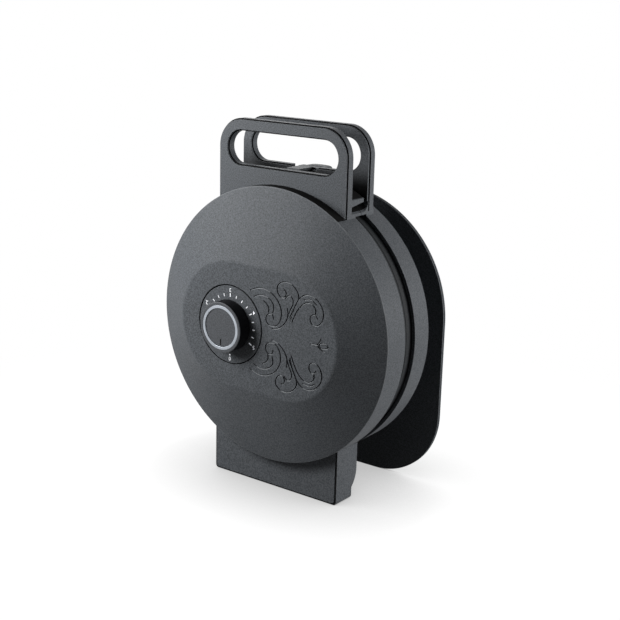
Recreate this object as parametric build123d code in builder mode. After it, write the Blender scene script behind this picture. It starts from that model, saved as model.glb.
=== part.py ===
"""Electric krumkake iron, stored upright on its hinge block and its foot plate.

Millimetres. X runs to the right, Y from the dial at the front to the foot plate at the back, Z up.
The origin is on the floor, under the middle of the iron's depth and width.
"""
from build123d import *
from math import cos, radians, sin, sqrt
import os

# ---- depth, front to back -------------------------------------------------------------------
knob_height = 11.6
dome_depth = 15.0
lid_band = 22.5
shell_gap = 13.8
base_band = 18.8
underside_depth = 11.0
spool_length = 26.7
foot_thick = 3.2
pad_height = 2.6

total_depth = (knob_height + dome_depth + lid_band + shell_gap + base_band
               + underside_depth + spool_length + foot_thick + pad_height)
knob_face_y = -total_depth / 2
dial_face_y = knob_face_y + knob_height
lid_edge_y = dial_face_y + dome_depth
lid_back_y = lid_edge_y + lid_band
parting_y = lid_back_y + shell_gap / 2
base_front_y = lid_back_y + shell_gap
base_back_y = base_front_y + base_band
spool_front_y = base_back_y + underside_depth
foot_front_y = spool_front_y + spool_length
foot_back_y = foot_front_y + foot_thick
pad_back_y = foot_back_y + pad_height

# ---- shells ---------------------------------------------------------------------------------
body_r = 107.0
block_drop = 25.5            # from the floor up to the lid shell's lowest point
body_z = body_r + block_drop
wall = 2.6
base_inset = 0.2            # the base shell is this much smaller in radius than the lid shell
panel_r = 49.0              # ends of the flat stadium panel that carries the dial
panel_half_run = 26.2       # from the panel's middle to the centre of each round end
edge_angle = 14.0           # half the arc of the round edge that runs to the panel's straight side
base_r = body_r - base_inset
base_inner_r = base_r - wall

# ---- hinge ----------------------------------------------------------------------------------
block_half = 60.5
block_setback = 7.8         # from the lid's edge back to the block's front
block_front_y = lid_edge_y + block_setback
block_rear_gap = 1.4        # from the block's back to the base shell's front
block_corner = 2.5
pivot_z = 22.0
heel_run = 0.6              # the block's foot ends this far in front of the pins
heel_z = 8.9
shoulder_z = 23.5           # from here down the block's back curves in to its heel
pin_r = 3.0
pin_clearance = 0.06
pin_tail = 3.0              # each pin stands out past its clip by this much
hub_r = 7.0
lug_r = 7.5
lug_thick = 12.0
lug_lift = 2.0              # the lug's underside ends this much above the pins
lug_setback = 1.0
lug_reach = 9.5             # how far each lug runs back under the base shell's band
side_play = 0.4
clip_r = 5.6
clip_thick = 1.0
lug_outer_x = 42.0
block_back_y = base_front_y - block_rear_gap
pivot_y = parting_y

# ---- handle ---------------------------------------------------------------------------------
handle_half = 60.0
handle_rise = 46.3          # from the lid shell's highest point to the handle's top
handle_corner = 21.5
handle_thick = 6.1
slot_half = 51.0
slot_height = 25.4
slot_margin = 9.3           # from the top of the slot to the top of the handle
handle_gap = 21.7           # clear space between the two halves, which meets the parting plane
handle_shift = 1.3          # the halves lie this much nearer the front than the parting plane
flange_thick = 1.7
flange_rise = 0.9           # the flange's underside stands this much off the shell
flange_half_gap = 0.3
foot_fillet_r = 6.0          # hollow corner between the base half and the front of its foot
foot_front_run = 11.6       # from the lid's edge to the front of the handle's foot
foot_back_run = 45.7        # from the lid's edge to the back of the base handle's foot
shield_drop = 0.3           # from the slot's lower edge down to the shield's top
shield_root_thick = 4.2
shield_tip_thick = 2.2
shield_reach = 15.0
shield_clear_half = 17.0
handle_top = body_z + body_r + handle_rise
slot_z = handle_top - slot_margin - slot_height / 2
slot_low_z = slot_z - slot_height / 2
shield_r = slot_low_z - shield_drop - body_z
lid_handle_back_y = parting_y - handle_shift - handle_gap / 2
base_handle_front_y = parting_y - handle_shift + handle_gap / 2
flange_r = body_r + flange_rise + flange_thick

# ---- handle screws --------------------------------------------------------------------------
handle_screw_x = 29.0
block_screw_x = 18.0
block_post_r = 4.2
handle_screw_r = 1.5
handle_screw_depth = 14.0
handle_pad_half = 3.4
handle_pad_height = 7.0
screw_head_height = 2.0
screw_head_r = 3.0
fit_clearance = 0.05

# ---- latch ----------------------------------------------------------------------------------
notch_half = 13.0
notch_floor_gap = 0.15
latch_pin_r = 1.5
latch_pin_half = 17.5
latch_hub_r = 3.2
latch_hub_gap = 0.6
latch_side_play = 0.4
latch_arm_half = 6.0
latch_arm_thick = 2.6
latch_arm_drop = 0.4        # from the slot's lower edge to the arm's top
barb_depth = 2.8
barb_drop = 2.6
barb_reach = 16.9
tab_half = 15.5
tab_thick = 3.5
tab_depth = 7.5
tab_gap = 1.6
catch_thick = 2.6
catch_bar_depth = 2.8
catch_lift = 0.4
catch_gap = 0.8             # from the barb's back to the catch's bar
catch_half = 11.0
catch_arm_width = 2.6
catch_leaf = 1.2
catch_leaf_height = 6.0

# ---- baking plates and heaters --------------------------------------------------------------
plate_margin = 0.8          # from each plate's rim to the inside of the base shell
plate_rim_width = 6.4
rim_gap = 0.15              # from each plate's rim to the parting plane
wafer_gap = 0.8             # from each baking face to the parting plane
plate_web = 4.5
upper_rim_depth = 8.0
lower_rim_depth = 10.4
plate_shift = 2.4           # the plates meet this much nearer the front than the hinge pins
element_ring_r = 68.0
element_r = 3.3
element_open_angle = 40.0
element_sink = 1.2
terminal_r = 2.0
terminal_length = 13.0
reflector_thick = 0.8
reflector_depth = 8.4
reflector_wall_inset = 11.4
reflector_flange_inset = 1.4
screw_inset = 4.8           # from the plates' rims in to their screws
screw_angles = (64, 116, 244, 296)
plate_screw_r = 1.7
plate_screw_depth = 10.0
plate_boss_r = 4.2
notch_r = 3.6
plate_r = base_inner_r - plate_margin
reflector_wall_r = plate_r - reflector_wall_inset
reflector_flange_r = plate_r - reflector_flange_inset
screw_ring_r = plate_r - screw_inset

# ---- dial and thermostat --------------------------------------------------------------------
dial_x = -26.6
dial_r = 30.3
dial_groove = 0.9
dial_thick = 1.1
knob_r = 19.75
knob_gap = 0.4
ring_outer_r = 17.25
ring_inner_r = 14.95
ring_depth = 2.0
cap_depth = 0.7             # the cap lies this far behind the ring's face
cap_thick = 1.2
pointer_width = 0.9
pointer_inner_r = 9.0
pointer_outer_r = 13.8
pointer_thick = 0.5
shaft_r = 3.0
shaft_hole_gap = 0.6
knob_socket_gap = 2.0
bush_r = 4.6
bush_length = 7.0
thermostat_r = 14.0
thermostat_depth = 12.0
thermostat_setback = 9.0    # from the shell's inner face to the thermostat
probe_r = 3.0
bracket_thick = 1.2
bracket_half = 24.0
bracket_width = 18.0
bracket_foot = 9.0
bracket_screw_r = 1.4

# ---- spool, foot plate and rubber feet ------------------------------------------------------
underside_r = 60.0
spool_r = 50.0
spool_screw_ring_r = 40.0
spool_screw_r = 2.0
spool_screw_head_r = 4.0
spool_boss_r = 5.0
spool_boss_rise = 11.0      # height of each boss inside the base shell
spool_screw_grip = 8.0
foot_half = 97.2
foot_corner = 57.0
foot_edge_chamfer = 0.6
pad_r = 8.0
pad_x = 66.0
pad_low_z = 36.0
pad_high_z = 182.0

# ---- wiring pieces --------------------------------------------------------------------------
gland_r = 5.5
gland_flange_r = 7.6
gland_flange_thick = 2.0
gland_nose = 5.0
gland_bore_r = 3.4
block_length = 34.0
block_height = 11.0
block_width = 16.0
fuse_r = 3.5
fuse_length = 20.0
fuse_rise = 50.0
strap_thick = 0.8
strap_width = 8.0
strap_foot = 6.0

body_axis = Axis((0, 0, body_z), (0, 1, 0))

os.makedirs("parts", exist_ok=True)


def facing(y):
    """A plane across the depth at y; its sketches have x to the right and y up."""
    return Plane.XZ.offset(-y)


def across(x):
    """A plane across the width at x; its sketches have x to the back and y up."""
    return Plane.YZ.offset(x)


def save(piece, name):
    piece.label = name
    export_step(piece, f"parts/{name}.step")


def ring_points(radius, angles):
    """Points on a circle about the body's axis, as sketch positions on a facing plane."""
    return [(radius * cos(radians(a)), body_z + radius * sin(radians(a))) for a in angles]


def shell_height(radius, x):
    """Height of a round shell's top at x, from the body's axis."""
    return sqrt(radius**2 - x**2)


# ---- lid shell: dome and band ----------------------------------------------------------------
plate_y = parting_y - plate_shift
lid_boss_back_y = plate_y - rim_gap - upper_rim_depth - reflector_thick
lid_pad_y = lid_handle_back_y - handle_thick / 2
handle_pad_reach = shell_height(body_r, handle_screw_x + handle_pad_half) - wall / 2
block_pad_reach = shell_height(body_r, block_screw_x + handle_pad_half) - wall / 2
lid_pad_z = body_z + handle_pad_reach - handle_pad_height
block_pad_z = body_z - block_pad_reach

with BuildPart() as lid_shell:
    for inset, mode in ((0, Mode.ADD), (wall, Mode.SUBTRACT)):
        with BuildSketch(facing(lid_edge_y + inset / 3)):
            with BuildLine():
                CenterArc((0, body_z), body_r - inset, -90 + edge_angle, 180 - 2 * edge_angle)
                CenterArc((0, body_z), body_r - inset, 90 - edge_angle, 2 * edge_angle)
                CenterArc((0, body_z), body_r - inset, 90 + edge_angle, 180 - 2 * edge_angle)
                CenterArc((0, body_z), body_r - inset, 270 - edge_angle, 2 * edge_angle)
            make_face()
        with BuildSketch(facing(dial_face_y + inset)):
            with BuildLine():
                CenterArc((panel_half_run, body_z), panel_r - inset, -90, 180)
                Line((panel_half_run, body_z + panel_r - inset), (-panel_half_run, body_z + panel_r - inset))
                CenterArc((-panel_half_run, body_z), panel_r - inset, 90, 180)
                Line((-panel_half_run, body_z - panel_r + inset), (panel_half_run, body_z - panel_r + inset))
            make_face()
        loft(ruled=True, mode=mode)
        with BuildSketch(facing(lid_back_y)):
            with Locations((0, body_z)):
                Circle(body_r - inset)
        extrude(amount=lid_band - inset / 3, mode=mode)
    for screw_x, pad_z in ((handle_screw_x, lid_pad_z), (block_screw_x, block_pad_z)):
        with BuildSketch(Plane.XY.offset(pad_z)):
            with Locations((-screw_x, lid_pad_y), (screw_x, lid_pad_y)):
                Rectangle(2 * handle_pad_half, 2 * handle_pad_half)
        extrude(amount=handle_pad_height)
        with BuildSketch(Plane.XY.offset(pad_z - 3 * wall)):
            with Locations((-screw_x, lid_pad_y), (screw_x, lid_pad_y)):
                Circle(handle_screw_r + fit_clearance)
        extrude(amount=handle_pad_height + 6 * wall, mode=Mode.SUBTRACT)
    with BuildSketch(facing(lid_boss_back_y)):
        with Locations(*ring_points(screw_ring_r, screw_angles)):
            Circle(plate_boss_r)
            Circle(plate_screw_r + fit_clearance, mode=Mode.SUBTRACT)
    extrude(until=Until.NEXT)
    with BuildSketch(facing(dial_face_y + dial_thick)):
        with Locations((dial_x, body_z)):
            Circle(dial_r + dial_groove)
    extrude(amount=dial_thick, mode=Mode.SUBTRACT)
    with BuildSketch(facing(dial_face_y + wall)):
        with Locations((dial_x, body_z)):
            Circle(shaft_r + shaft_hole_gap)
    extrude(amount=wall, mode=Mode.SUBTRACT)
save(lid_shell.part, "lid_shell")

# ---- hinge block under the lid, which the iron stands on --------------------------------------
pivot_axis_at = (pivot_y, pivot_z)
lug_inner_x = lug_outer_x - lug_thick
hub_x = lug_outer_x + side_play
cheek_x = block_half - wall
block_top_z = body_z - shell_height(body_r, block_half) + wall
with BuildPart() as hinge_block:
    with BuildSketch(across(-block_half)):
        with BuildLine():
            TangentArc((block_back_y, shoulder_z), (pivot_y - heel_run, heel_z), tangent=(0, -1))
            Polyline((pivot_y - heel_run, heel_z), (pivot_y - heel_run, 0), (block_front_y, 0),
                     (block_front_y, block_top_z), (block_back_y, block_top_z),
                     (block_back_y, shoulder_z))
        make_face()
    extrude(amount=2 * block_half)
    fillet(edges().filter_by(Axis.Y).group_by(Axis.Z)[0], radius=block_corner)
    with BuildSketch(Plane.XY.offset(wall)):
        with Locations((0, (block_front_y + wall + base_back_y) / 2)):
            Rectangle(2 * cheek_x, base_back_y - block_front_y - wall)
    extrude(amount=body_z, mode=Mode.SUBTRACT)
    with BuildSketch(Plane.XY.offset(wall / 2)):
        with Locations((-block_screw_x, lid_pad_y), (block_screw_x, lid_pad_y)):
            Circle(block_post_r)
    extrude(amount=block_pad_z - wall / 2)
    for side in (-1, 1):
        with BuildSketch(across(side * hub_x)):
            with Locations(pivot_axis_at):
                Circle(hub_r)
        extrude(amount=side * (cheek_x - hub_x + wall / 2))
    with BuildSketch(across(-cheek_x - wall / 2)):
        with Locations(pivot_axis_at):
            Circle(pin_r + pin_clearance)
    extrude(amount=2 * cheek_x + wall, mode=Mode.SUBTRACT)
    with BuildSketch(facing(base_back_y)):
        with Locations((0, body_z)):
            Circle(body_r)
    extrude(amount=total_depth, mode=Mode.SUBTRACT)
    with BuildSketch(Plane.XY.offset(block_pad_z)):
        with Locations((-block_screw_x, lid_pad_y), (block_screw_x, lid_pad_y)):
            Circle(handle_screw_r + fit_clearance)
    extrude(amount=-handle_screw_depth, mode=Mode.SUBTRACT)
save(hinge_block.part, "hinge_block")

with BuildPart() as block_screws:
    with BuildSketch(Plane.XY.offset(block_pad_z + handle_pad_height)):
        with Locations((-block_screw_x, lid_pad_y), (block_screw_x, lid_pad_y)):
            Circle(screw_head_r)
    extrude(amount=screw_head_height)
    with BuildSketch(Plane.XY.offset(block_pad_z + handle_pad_height)):
        with Locations((-block_screw_x, lid_pad_y), (block_screw_x, lid_pad_y)):
            Circle(handle_screw_r)
    extrude(amount=-handle_pad_height - handle_screw_depth + fit_clearance)
save(block_screws.part, "block_screws")

# ---- base shell: band, conical underside and hinge lugs -------------------------------------
base_boss_front_y = plate_y + rim_gap + lower_rim_depth + reflector_thick
base_pad_y = base_handle_front_y + handle_thick / 2
base_pad_z = lid_pad_z - base_inset
underside_floor_y = spool_front_y - wall
lug_back_y = base_front_y + lug_reach
lug_top_z = body_z - shell_height(base_inner_r, lug_outer_x) + lug_setback

with BuildPart() as base_shell:
    for side in (-1, 1):
        with BuildSketch(across(side * lug_inner_x)):
            with Locations(pivot_axis_at):
                Circle(lug_r)
            with BuildLine():
                Polyline((pivot_y, pivot_z - lug_r), (lug_back_y, pivot_z + lug_lift),
                         (lug_back_y, lug_top_z), (base_front_y + lug_setback, lug_top_z),
                         (base_front_y + lug_setback, pivot_z + lug_r),
                         (pivot_y, pivot_z + lug_r), close=True)
            make_face()
        extrude(amount=side * lug_thick)
    with BuildSketch(across(-lug_outer_x)):
        with Locations(pivot_axis_at):
            Circle(pin_r + fit_clearance)
    extrude(amount=2 * lug_outer_x, mode=Mode.SUBTRACT)
    with BuildSketch(facing(base_back_y)):
        with Locations((0, body_z)):
            Circle(base_inner_r)
    extrude(amount=base_band, mode=Mode.SUBTRACT)
    with BuildSketch(Plane.YZ):
        with BuildLine():
            Polyline((base_front_y, body_z + base_inner_r), (base_front_y, body_z + base_r),
                     (base_back_y, body_z + base_r), (spool_front_y, body_z + underside_r),
                     (spool_front_y, body_z), (underside_floor_y, body_z),
                     (underside_floor_y, body_z + underside_r), (base_back_y - wall, body_z + base_inner_r),
                     close=True)
        make_face()
    revolve(axis=body_axis)
    for x in (-handle_screw_x, handle_screw_x):
        with BuildSketch(Plane.XY.offset(base_pad_z)):
            with Locations((x, base_pad_y)):
                Rectangle(2 * handle_pad_half, 2 * handle_pad_half)
        extrude(amount=handle_pad_height)
        with BuildSketch(Plane.XY.offset(base_pad_z)):
            with Locations((x, base_pad_y)):
                Circle(handle_screw_r + fit_clearance)
        extrude(amount=handle_pad_height + 3 * wall, mode=Mode.SUBTRACT)
    with BuildSketch(facing(base_back_y)):
        with Locations(*ring_points(screw_ring_r, screw_angles)):
            Circle(plate_boss_r)
    extrude(amount=base_back_y - base_boss_front_y)
    with BuildSketch(facing(base_boss_front_y + plate_screw_depth)):
        with Locations(*ring_points(screw_ring_r, screw_angles)):
            Circle(plate_screw_r + fit_clearance)
    extrude(amount=plate_screw_depth, mode=Mode.SUBTRACT)
    with BuildSketch(facing(spool_front_y)):
        with Locations((0, body_z)):
            with PolarLocations(spool_screw_ring_r, 4, start_angle=45):
                Circle(spool_boss_r)
    extrude(amount=spool_boss_rise)
    with BuildSketch(facing(spool_front_y)):
        with Locations((0, body_z)):
            with PolarLocations(spool_screw_ring_r, 4, start_angle=45):
                Circle(spool_screw_r + fit_clearance)
    extrude(amount=spool_screw_grip, mode=Mode.SUBTRACT)
save(base_shell.part, "base_shell")

# ---- hinge pins and their clips -------------------------------------------------------------
pin_inner_x = lug_inner_x - clip_thick - pin_tail
pin_outer_x = cheek_x + wall / 2 - side_play
with BuildPart() as hinge_pins:
    for side in (-1, 1):
        with BuildSketch(across(side * pin_inner_x)):
            with Locations(pivot_axis_at):
                Circle(pin_r)
        extrude(amount=side * (pin_outer_x - pin_inner_x))
save(hinge_pins.part, "hinge_pins")

with BuildPart() as hinge_clips:
    for side in (-1, 1):
        with BuildSketch(across(side * lug_inner_x)):
            with Locations(pivot_axis_at):
                Circle(clip_r)
                Circle(pin_r + fit_clearance, mode=Mode.SUBTRACT)
        extrude(amount=-side * clip_thick)
save(hinge_clips.part, "hinge_clips")

# ---- the two halves of the handle -----------------------------------------------------------
handle_low_z = body_z
latch_pin_z = body_z + flange_r + notch_floor_gap + latch_hub_gap + latch_hub_r
latch_y = base_handle_front_y + handle_thick / 2
notch_floor_z = body_z + flange_r + notch_floor_gap

with BuildPart() as shield:
    with BuildSketch(Plane.YZ):
        with BuildLine():
            Polyline((lid_handle_back_y, body_z + shield_r - shield_root_thick),
                     (lid_handle_back_y, body_z + shield_r),
                     (lid_handle_back_y + shield_reach, body_z + shield_r),
                     (lid_handle_back_y + shield_reach, body_z + shield_r - shield_tip_thick), close=True)
        make_face()
    revolve(axis=body_axis)
    with BuildSketch(facing(lid_handle_back_y + shield_reach)):
        with Locations((0, body_z + shield_r / 2)):
            Rectangle(2 * handle_half, shield_r)
        with Locations((0, body_z + shield_r)):
            Rectangle(2 * shield_clear_half, shield_r, mode=Mode.SUBTRACT)
    extrude(amount=shield_reach, mode=Mode.INTERSECT)

with BuildPart() as foot_fillet:
    with BuildSketch(Plane.YZ):
        with BuildLine():
            Line((base_handle_front_y, body_z + flange_r + foot_fillet_r), (base_handle_front_y, body_z + body_r))
            Polyline((base_handle_front_y, body_z + body_r),
                     (base_handle_front_y - foot_fillet_r, body_z + body_r + flange_rise),
                     (base_handle_front_y - foot_fillet_r, body_z + flange_r))
            CenterArc((base_handle_front_y - foot_fillet_r, body_z + flange_r + foot_fillet_r),
                      foot_fillet_r, 270, 90)
        make_face()
    revolve(axis=body_axis)
    with BuildSketch(facing(base_handle_front_y)):
        with Locations((0, body_z + flange_r)):
            Rectangle(2 * handle_half, flange_r)
        with Locations((0, body_z + flange_r)):
            Rectangle(2 * shield_clear_half, flange_r, mode=Mode.SUBTRACT)
    extrude(amount=foot_fillet_r, mode=Mode.INTERSECT)

with BuildPart() as lid_handle:
    with BuildSketch(facing(lid_handle_back_y)):
        with Locations((0, (handle_top + handle_low_z) / 2)):
            Rectangle(2 * handle_half, handle_top - handle_low_z)
        fillet(vertices().group_by(Axis.Y)[-1], radius=handle_corner)
        with Locations((0, slot_z)):
            SlotOverall(2 * slot_half, slot_height, mode=Mode.SUBTRACT)
        with Locations((0, body_z)):
            Circle(body_r, mode=Mode.SUBTRACT)
    extrude(amount=handle_thick)
    for back_y, front_y, inner_r in (
        (lid_back_y, lid_edge_y + foot_front_run, body_r),
        (parting_y - flange_half_gap, lid_edge_y + foot_front_run, body_r + flange_rise),
    ):
        with BuildSketch(facing(back_y)):
            with Locations((0, body_z)):
                Circle(flange_r)
                Circle(inner_r, mode=Mode.SUBTRACT)
            with Locations((0, body_z + shield_r / 2)):
                Rectangle(2 * handle_half, shield_r, mode=Mode.INTERSECT)
        extrude(amount=back_y - front_y)
    add(shield.part)
    for x in (-handle_screw_x, handle_screw_x):
        with BuildSketch(Plane.XY.offset(lid_pad_z)):
            with Locations((x, lid_pad_y)):
                Circle(handle_screw_r + fit_clearance)
        extrude(amount=handle_pad_height + handle_screw_depth, mode=Mode.SUBTRACT)
save(lid_handle.part, "lid_handle")

with BuildPart() as base_handle:
    with BuildSketch(facing(base_handle_front_y + handle_thick)):
        with Locations((0, (handle_top + handle_low_z) / 2)):
            Rectangle(2 * handle_half, handle_top - handle_low_z)
        fillet(vertices().group_by(Axis.Y)[-1], radius=handle_corner)
        with Locations((0, slot_z)):
            SlotOverall(2 * slot_half, slot_height, mode=Mode.SUBTRACT)
        with Locations((0, (notch_floor_z + slot_z) / 2)):
            Rectangle(2 * notch_half, slot_z - notch_floor_z, mode=Mode.SUBTRACT)
        with Locations((0, body_z)):
            Circle(base_r, mode=Mode.SUBTRACT)
    extrude(amount=handle_thick)
    for back_y, front_y, inner_r in (
        (lid_edge_y + foot_back_run, base_front_y, base_r),
        (lid_edge_y + foot_back_run, parting_y + flange_half_gap, body_r + flange_rise),
    ):
        with BuildSketch(facing(back_y)):
            with Locations((0, body_z)):
                Circle(flange_r)
                Circle(inner_r, mode=Mode.SUBTRACT)
            with Locations((0, body_z + shield_r / 2)):
                Rectangle(2 * handle_half, shield_r, mode=Mode.INTERSECT)
        extrude(amount=back_y - front_y)
    add(foot_fillet.part)
    for x in (-handle_screw_x, handle_screw_x):
        with BuildSketch(Plane.XY.offset(base_pad_z)):
            with Locations((x, base_pad_y)):
                Circle(handle_screw_r + fit_clearance)
        extrude(amount=handle_pad_height + handle_screw_depth, mode=Mode.SUBTRACT)
    with BuildSketch(across(-latch_pin_half)):
        with Locations((latch_y, latch_pin_z)):
            Circle(latch_pin_r + fit_clearance)
    extrude(amount=2 * latch_pin_half, mode=Mode.SUBTRACT)
save(base_handle.part, "base_handle")

for name, pad_y, pad_z in (("lid_handle_screws", lid_pad_y, lid_pad_z),
                           ("base_handle_screws", base_pad_y, base_pad_z)):
    with BuildPart() as handle_screws:
        with BuildSketch(Plane.XY.offset(pad_z)):
            with Locations((-handle_screw_x, pad_y), (handle_screw_x, pad_y)):
                Circle(screw_head_r)
        extrude(amount=-screw_head_height)
        with BuildSketch(Plane.XY.offset(pad_z)):
            with Locations((-handle_screw_x, pad_y), (handle_screw_x, pad_y)):
                Circle(handle_screw_r)
        extrude(amount=handle_pad_height + handle_screw_depth - 2 * fit_clearance)
    save(handle_screws.part, name)

# ---- latch: a rocking lever on a pin in the base handle, and the catch on the lid handle -----
arm_top_z = slot_low_z - latch_arm_drop
arm_low_z = arm_top_z - latch_arm_thick
barb_low_z = arm_low_z - barb_drop
barb_front_y = latch_y - barb_reach
barb_back_y = barb_front_y + barb_depth
tab_front_y = latch_y + handle_thick / 2 + tab_gap
tab_top_z = slot_low_z
lever_half = notch_half - latch_side_play

with BuildPart() as latch_pin:
    with BuildSketch(across(-latch_pin_half)):
        with Locations((latch_y, latch_pin_z)):
            Circle(latch_pin_r)
    extrude(amount=2 * latch_pin_half)
save(latch_pin.part, "latch_pin")

with BuildPart() as latch_lever:
    with BuildSketch(across(-lever_half)):
        with Locations((latch_y, latch_pin_z)):
            Circle(latch_hub_r)
        with BuildLine():
            Polyline((latch_y - 1, latch_pin_z), (latch_y - 1, arm_top_z), (tab_front_y + 1, arm_top_z),
                     (tab_front_y + 1, tab_top_z - tab_thick), (latch_y + 2, tab_top_z - tab_thick - 1),
                     (latch_y + 2, latch_pin_z), close=True)
        make_face()
    extrude(amount=2 * lever_half)
    with BuildSketch(across(-latch_arm_half)):
        with BuildLine():
            Polyline((latch_y, arm_top_z), (barb_front_y, arm_top_z), (barb_front_y, barb_low_z),
                     (barb_back_y, barb_low_z), (barb_back_y, arm_low_z), (latch_y, arm_low_z), close=True)
        make_face()
    extrude(amount=2 * latch_arm_half)
    with BuildSketch(Plane.XY.offset(tab_top_z)):
        with Locations((0, tab_front_y + tab_depth / 2)):
            RectangleRounded(2 * tab_half, tab_depth, tab_depth / 3)
    extrude(amount=-tab_thick)
    with BuildSketch(across(-lever_half)):
        with Locations((latch_y, latch_pin_z)):
            Circle(latch_pin_r + pin_clearance)
    extrude(amount=2 * lever_half, mode=Mode.SUBTRACT)
save(latch_lever.part, "latch_lever")

catch_top_z = barb_low_z - catch_lift
catch_bar_front_y = barb_back_y + catch_gap
with BuildPart() as latch_catch:
    with BuildSketch(Plane.XY.offset(catch_top_z)):
        with Locations((0, (lid_handle_back_y + catch_bar_front_y + catch_bar_depth) / 2)):
            Rectangle(2 * catch_half, catch_bar_front_y + catch_bar_depth - lid_handle_back_y)
        with Locations((0, (lid_handle_back_y + catch_leaf + catch_bar_front_y) / 2)):
            Rectangle(2 * (catch_half - catch_arm_width),
                      catch_bar_front_y - lid_handle_back_y - catch_leaf, mode=Mode.SUBTRACT)
    extrude(amount=-catch_thick)
    with BuildSketch(facing(lid_handle_back_y + catch_leaf)):
        with Locations((0, catch_top_z - catch_thick + catch_leaf_height / 2)):
            Rectangle(2 * catch_half, catch_leaf_height)
    extrude(amount=catch_leaf)
save(latch_catch.part, "latch_catch")

# ---- baking plates, heaters, heat shields and screws, the same on both sides ------------------
terminal_x = element_ring_r * sin(radians(element_open_angle / 2))
terminal_z = body_z - element_ring_r * cos(radians(element_open_angle / 2))
for part_name, away, rim_depth in (("upper", -1, upper_rim_depth), ("lower", 1, lower_rim_depth)):
    rim_y = plate_y + away * rim_gap
    face_y = plate_y + away * wafer_gap
    web_y = face_y + away * plate_web
    rim_back_y = rim_y + away * rim_depth
    tray_y = rim_back_y + away * reflector_depth
    element_y = web_y + away * (element_r - element_sink)
    with BuildPart() as baking_plate:
        with BuildSketch(Plane.YZ):
            with BuildLine():
                Polyline((face_y, body_z), (face_y, body_z + plate_r - plate_rim_width),
                         (rim_y, body_z + plate_r - plate_rim_width + wafer_gap), (rim_y, body_z + plate_r),
                         (rim_back_y, body_z + plate_r), (rim_back_y, body_z + plate_r - plate_rim_width),
                         (web_y, body_z + plate_r - plate_rim_width), (web_y, body_z), close=True)
            make_face()
        revolve(axis=body_axis)
        with BuildSketch(facing(rim_back_y)):
            with Locations(*ring_points(screw_ring_r, screw_angles)):
                Circle(notch_r)
            with Locations(*ring_points(plate_r, screw_angles)):
                Circle(notch_r)
        extrude(amount=away * rim_depth, mode=Mode.SUBTRACT)
        with BuildSketch(Plane.YZ):
            with Locations((element_y, body_z + element_ring_r)):
                Circle(element_r + fit_clearance)
        revolve(axis=body_axis, mode=Mode.SUBTRACT)
    save(baking_plate.part, f"{part_name}_plate")

    with BuildPart() as element:
        start = radians(-element_open_angle / 2)
        with BuildSketch(Plane((0, 0, body_z), x_dir=(0, 1, 0), z_dir=(cos(start), 0, sin(start)))):
            with Locations((element_y, -element_ring_r)):
                Circle(element_r)
        revolve(axis=body_axis, revolution_arc=360 - element_open_angle)
        with BuildSketch(facing(element_y)):
            with Locations((-terminal_x, terminal_z), (terminal_x, terminal_z)):
                Circle(terminal_r)
        extrude(amount=-away * terminal_length)
    save(element.part, f"{part_name}_element")

    with BuildPart() as reflector:
        with BuildSketch(Plane.YZ):
            with BuildLine():
                Polyline((rim_back_y, body_z + reflector_flange_r),
                         (rim_back_y, body_z + reflector_wall_r),
                         (tray_y, body_z + reflector_wall_r - reflector_thick), (tray_y, body_z),
                         (tray_y + away * reflector_thick, body_z),
                         (tray_y + away * reflector_thick, body_z + reflector_wall_r),
                         (rim_back_y + away * reflector_thick, body_z + reflector_wall_r + reflector_thick),
                         (rim_back_y + away * reflector_thick, body_z + reflector_flange_r), close=True)
            make_face()
        revolve(axis=body_axis)
        with BuildSketch(facing(tray_y)):
            with Locations((-terminal_x, terminal_z), (terminal_x, terminal_z)):
                Circle(terminal_r + shaft_hole_gap)
            with Locations((dial_x, body_z)):
                Circle(probe_r + shaft_hole_gap)
        extrude(amount=-away * reflector_thick, mode=Mode.SUBTRACT)
        with BuildSketch(facing(rim_back_y)):
            with Locations(*ring_points(screw_ring_r, screw_angles)):
                Circle(plate_screw_r + fit_clearance)
        extrude(amount=-away * reflector_thick, mode=Mode.SUBTRACT)
    save(reflector.part, f"{part_name}_reflector")

    with BuildPart() as plate_screws:
        with BuildSketch(facing(rim_back_y)):
            with Locations(*ring_points(screw_ring_r, screw_angles)):
                Circle(screw_head_r)
        extrude(amount=away * screw_head_height)
        with BuildSketch(facing(rim_back_y)):
            with Locations(*ring_points(screw_ring_r, screw_angles)):
                Circle(plate_screw_r)
        extrude(amount=-away * plate_screw_depth)
    save(plate_screws.part, f"{part_name}_plate_screws")

# ---- thermostat behind the dial, its bracket and the printed scale --------------------------
upper_tray_y = lid_boss_back_y - reflector_depth
upper_web_y = plate_y - wafer_gap - plate_web
thermostat_front_y = dial_face_y + wall + thermostat_setback
with BuildPart() as dial_plate:
    with BuildSketch(facing(dial_face_y + dial_thick)):
        with Locations((dial_x, body_z)):
            Circle(dial_r)
            Circle(shaft_r + shaft_hole_gap, mode=Mode.SUBTRACT)
    extrude(amount=dial_thick)
save(dial_plate.part, "dial_plate")

with BuildPart() as thermostat:
    with BuildSketch(facing(thermostat_front_y + thermostat_depth)):
        with Locations((dial_x, body_z)):
            Circle(thermostat_r)
    extrude(amount=thermostat_depth)
    with BuildSketch(facing(thermostat_front_y)):
        with Locations((dial_x, body_z)):
            Circle(bush_r)
    extrude(amount=bush_length)
    with BuildSketch(facing(thermostat_front_y)):
        with Locations((dial_x, body_z)):
            Circle(shaft_r + pin_clearance)
    extrude(amount=bush_length, mode=Mode.SUBTRACT)
    with BuildSketch(facing(upper_web_y)):
        with Locations((dial_x, body_z)):
            Circle(probe_r)
    extrude(amount=upper_web_y - thermostat_front_y - thermostat_depth)
save(thermostat.part, "thermostat")

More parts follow.
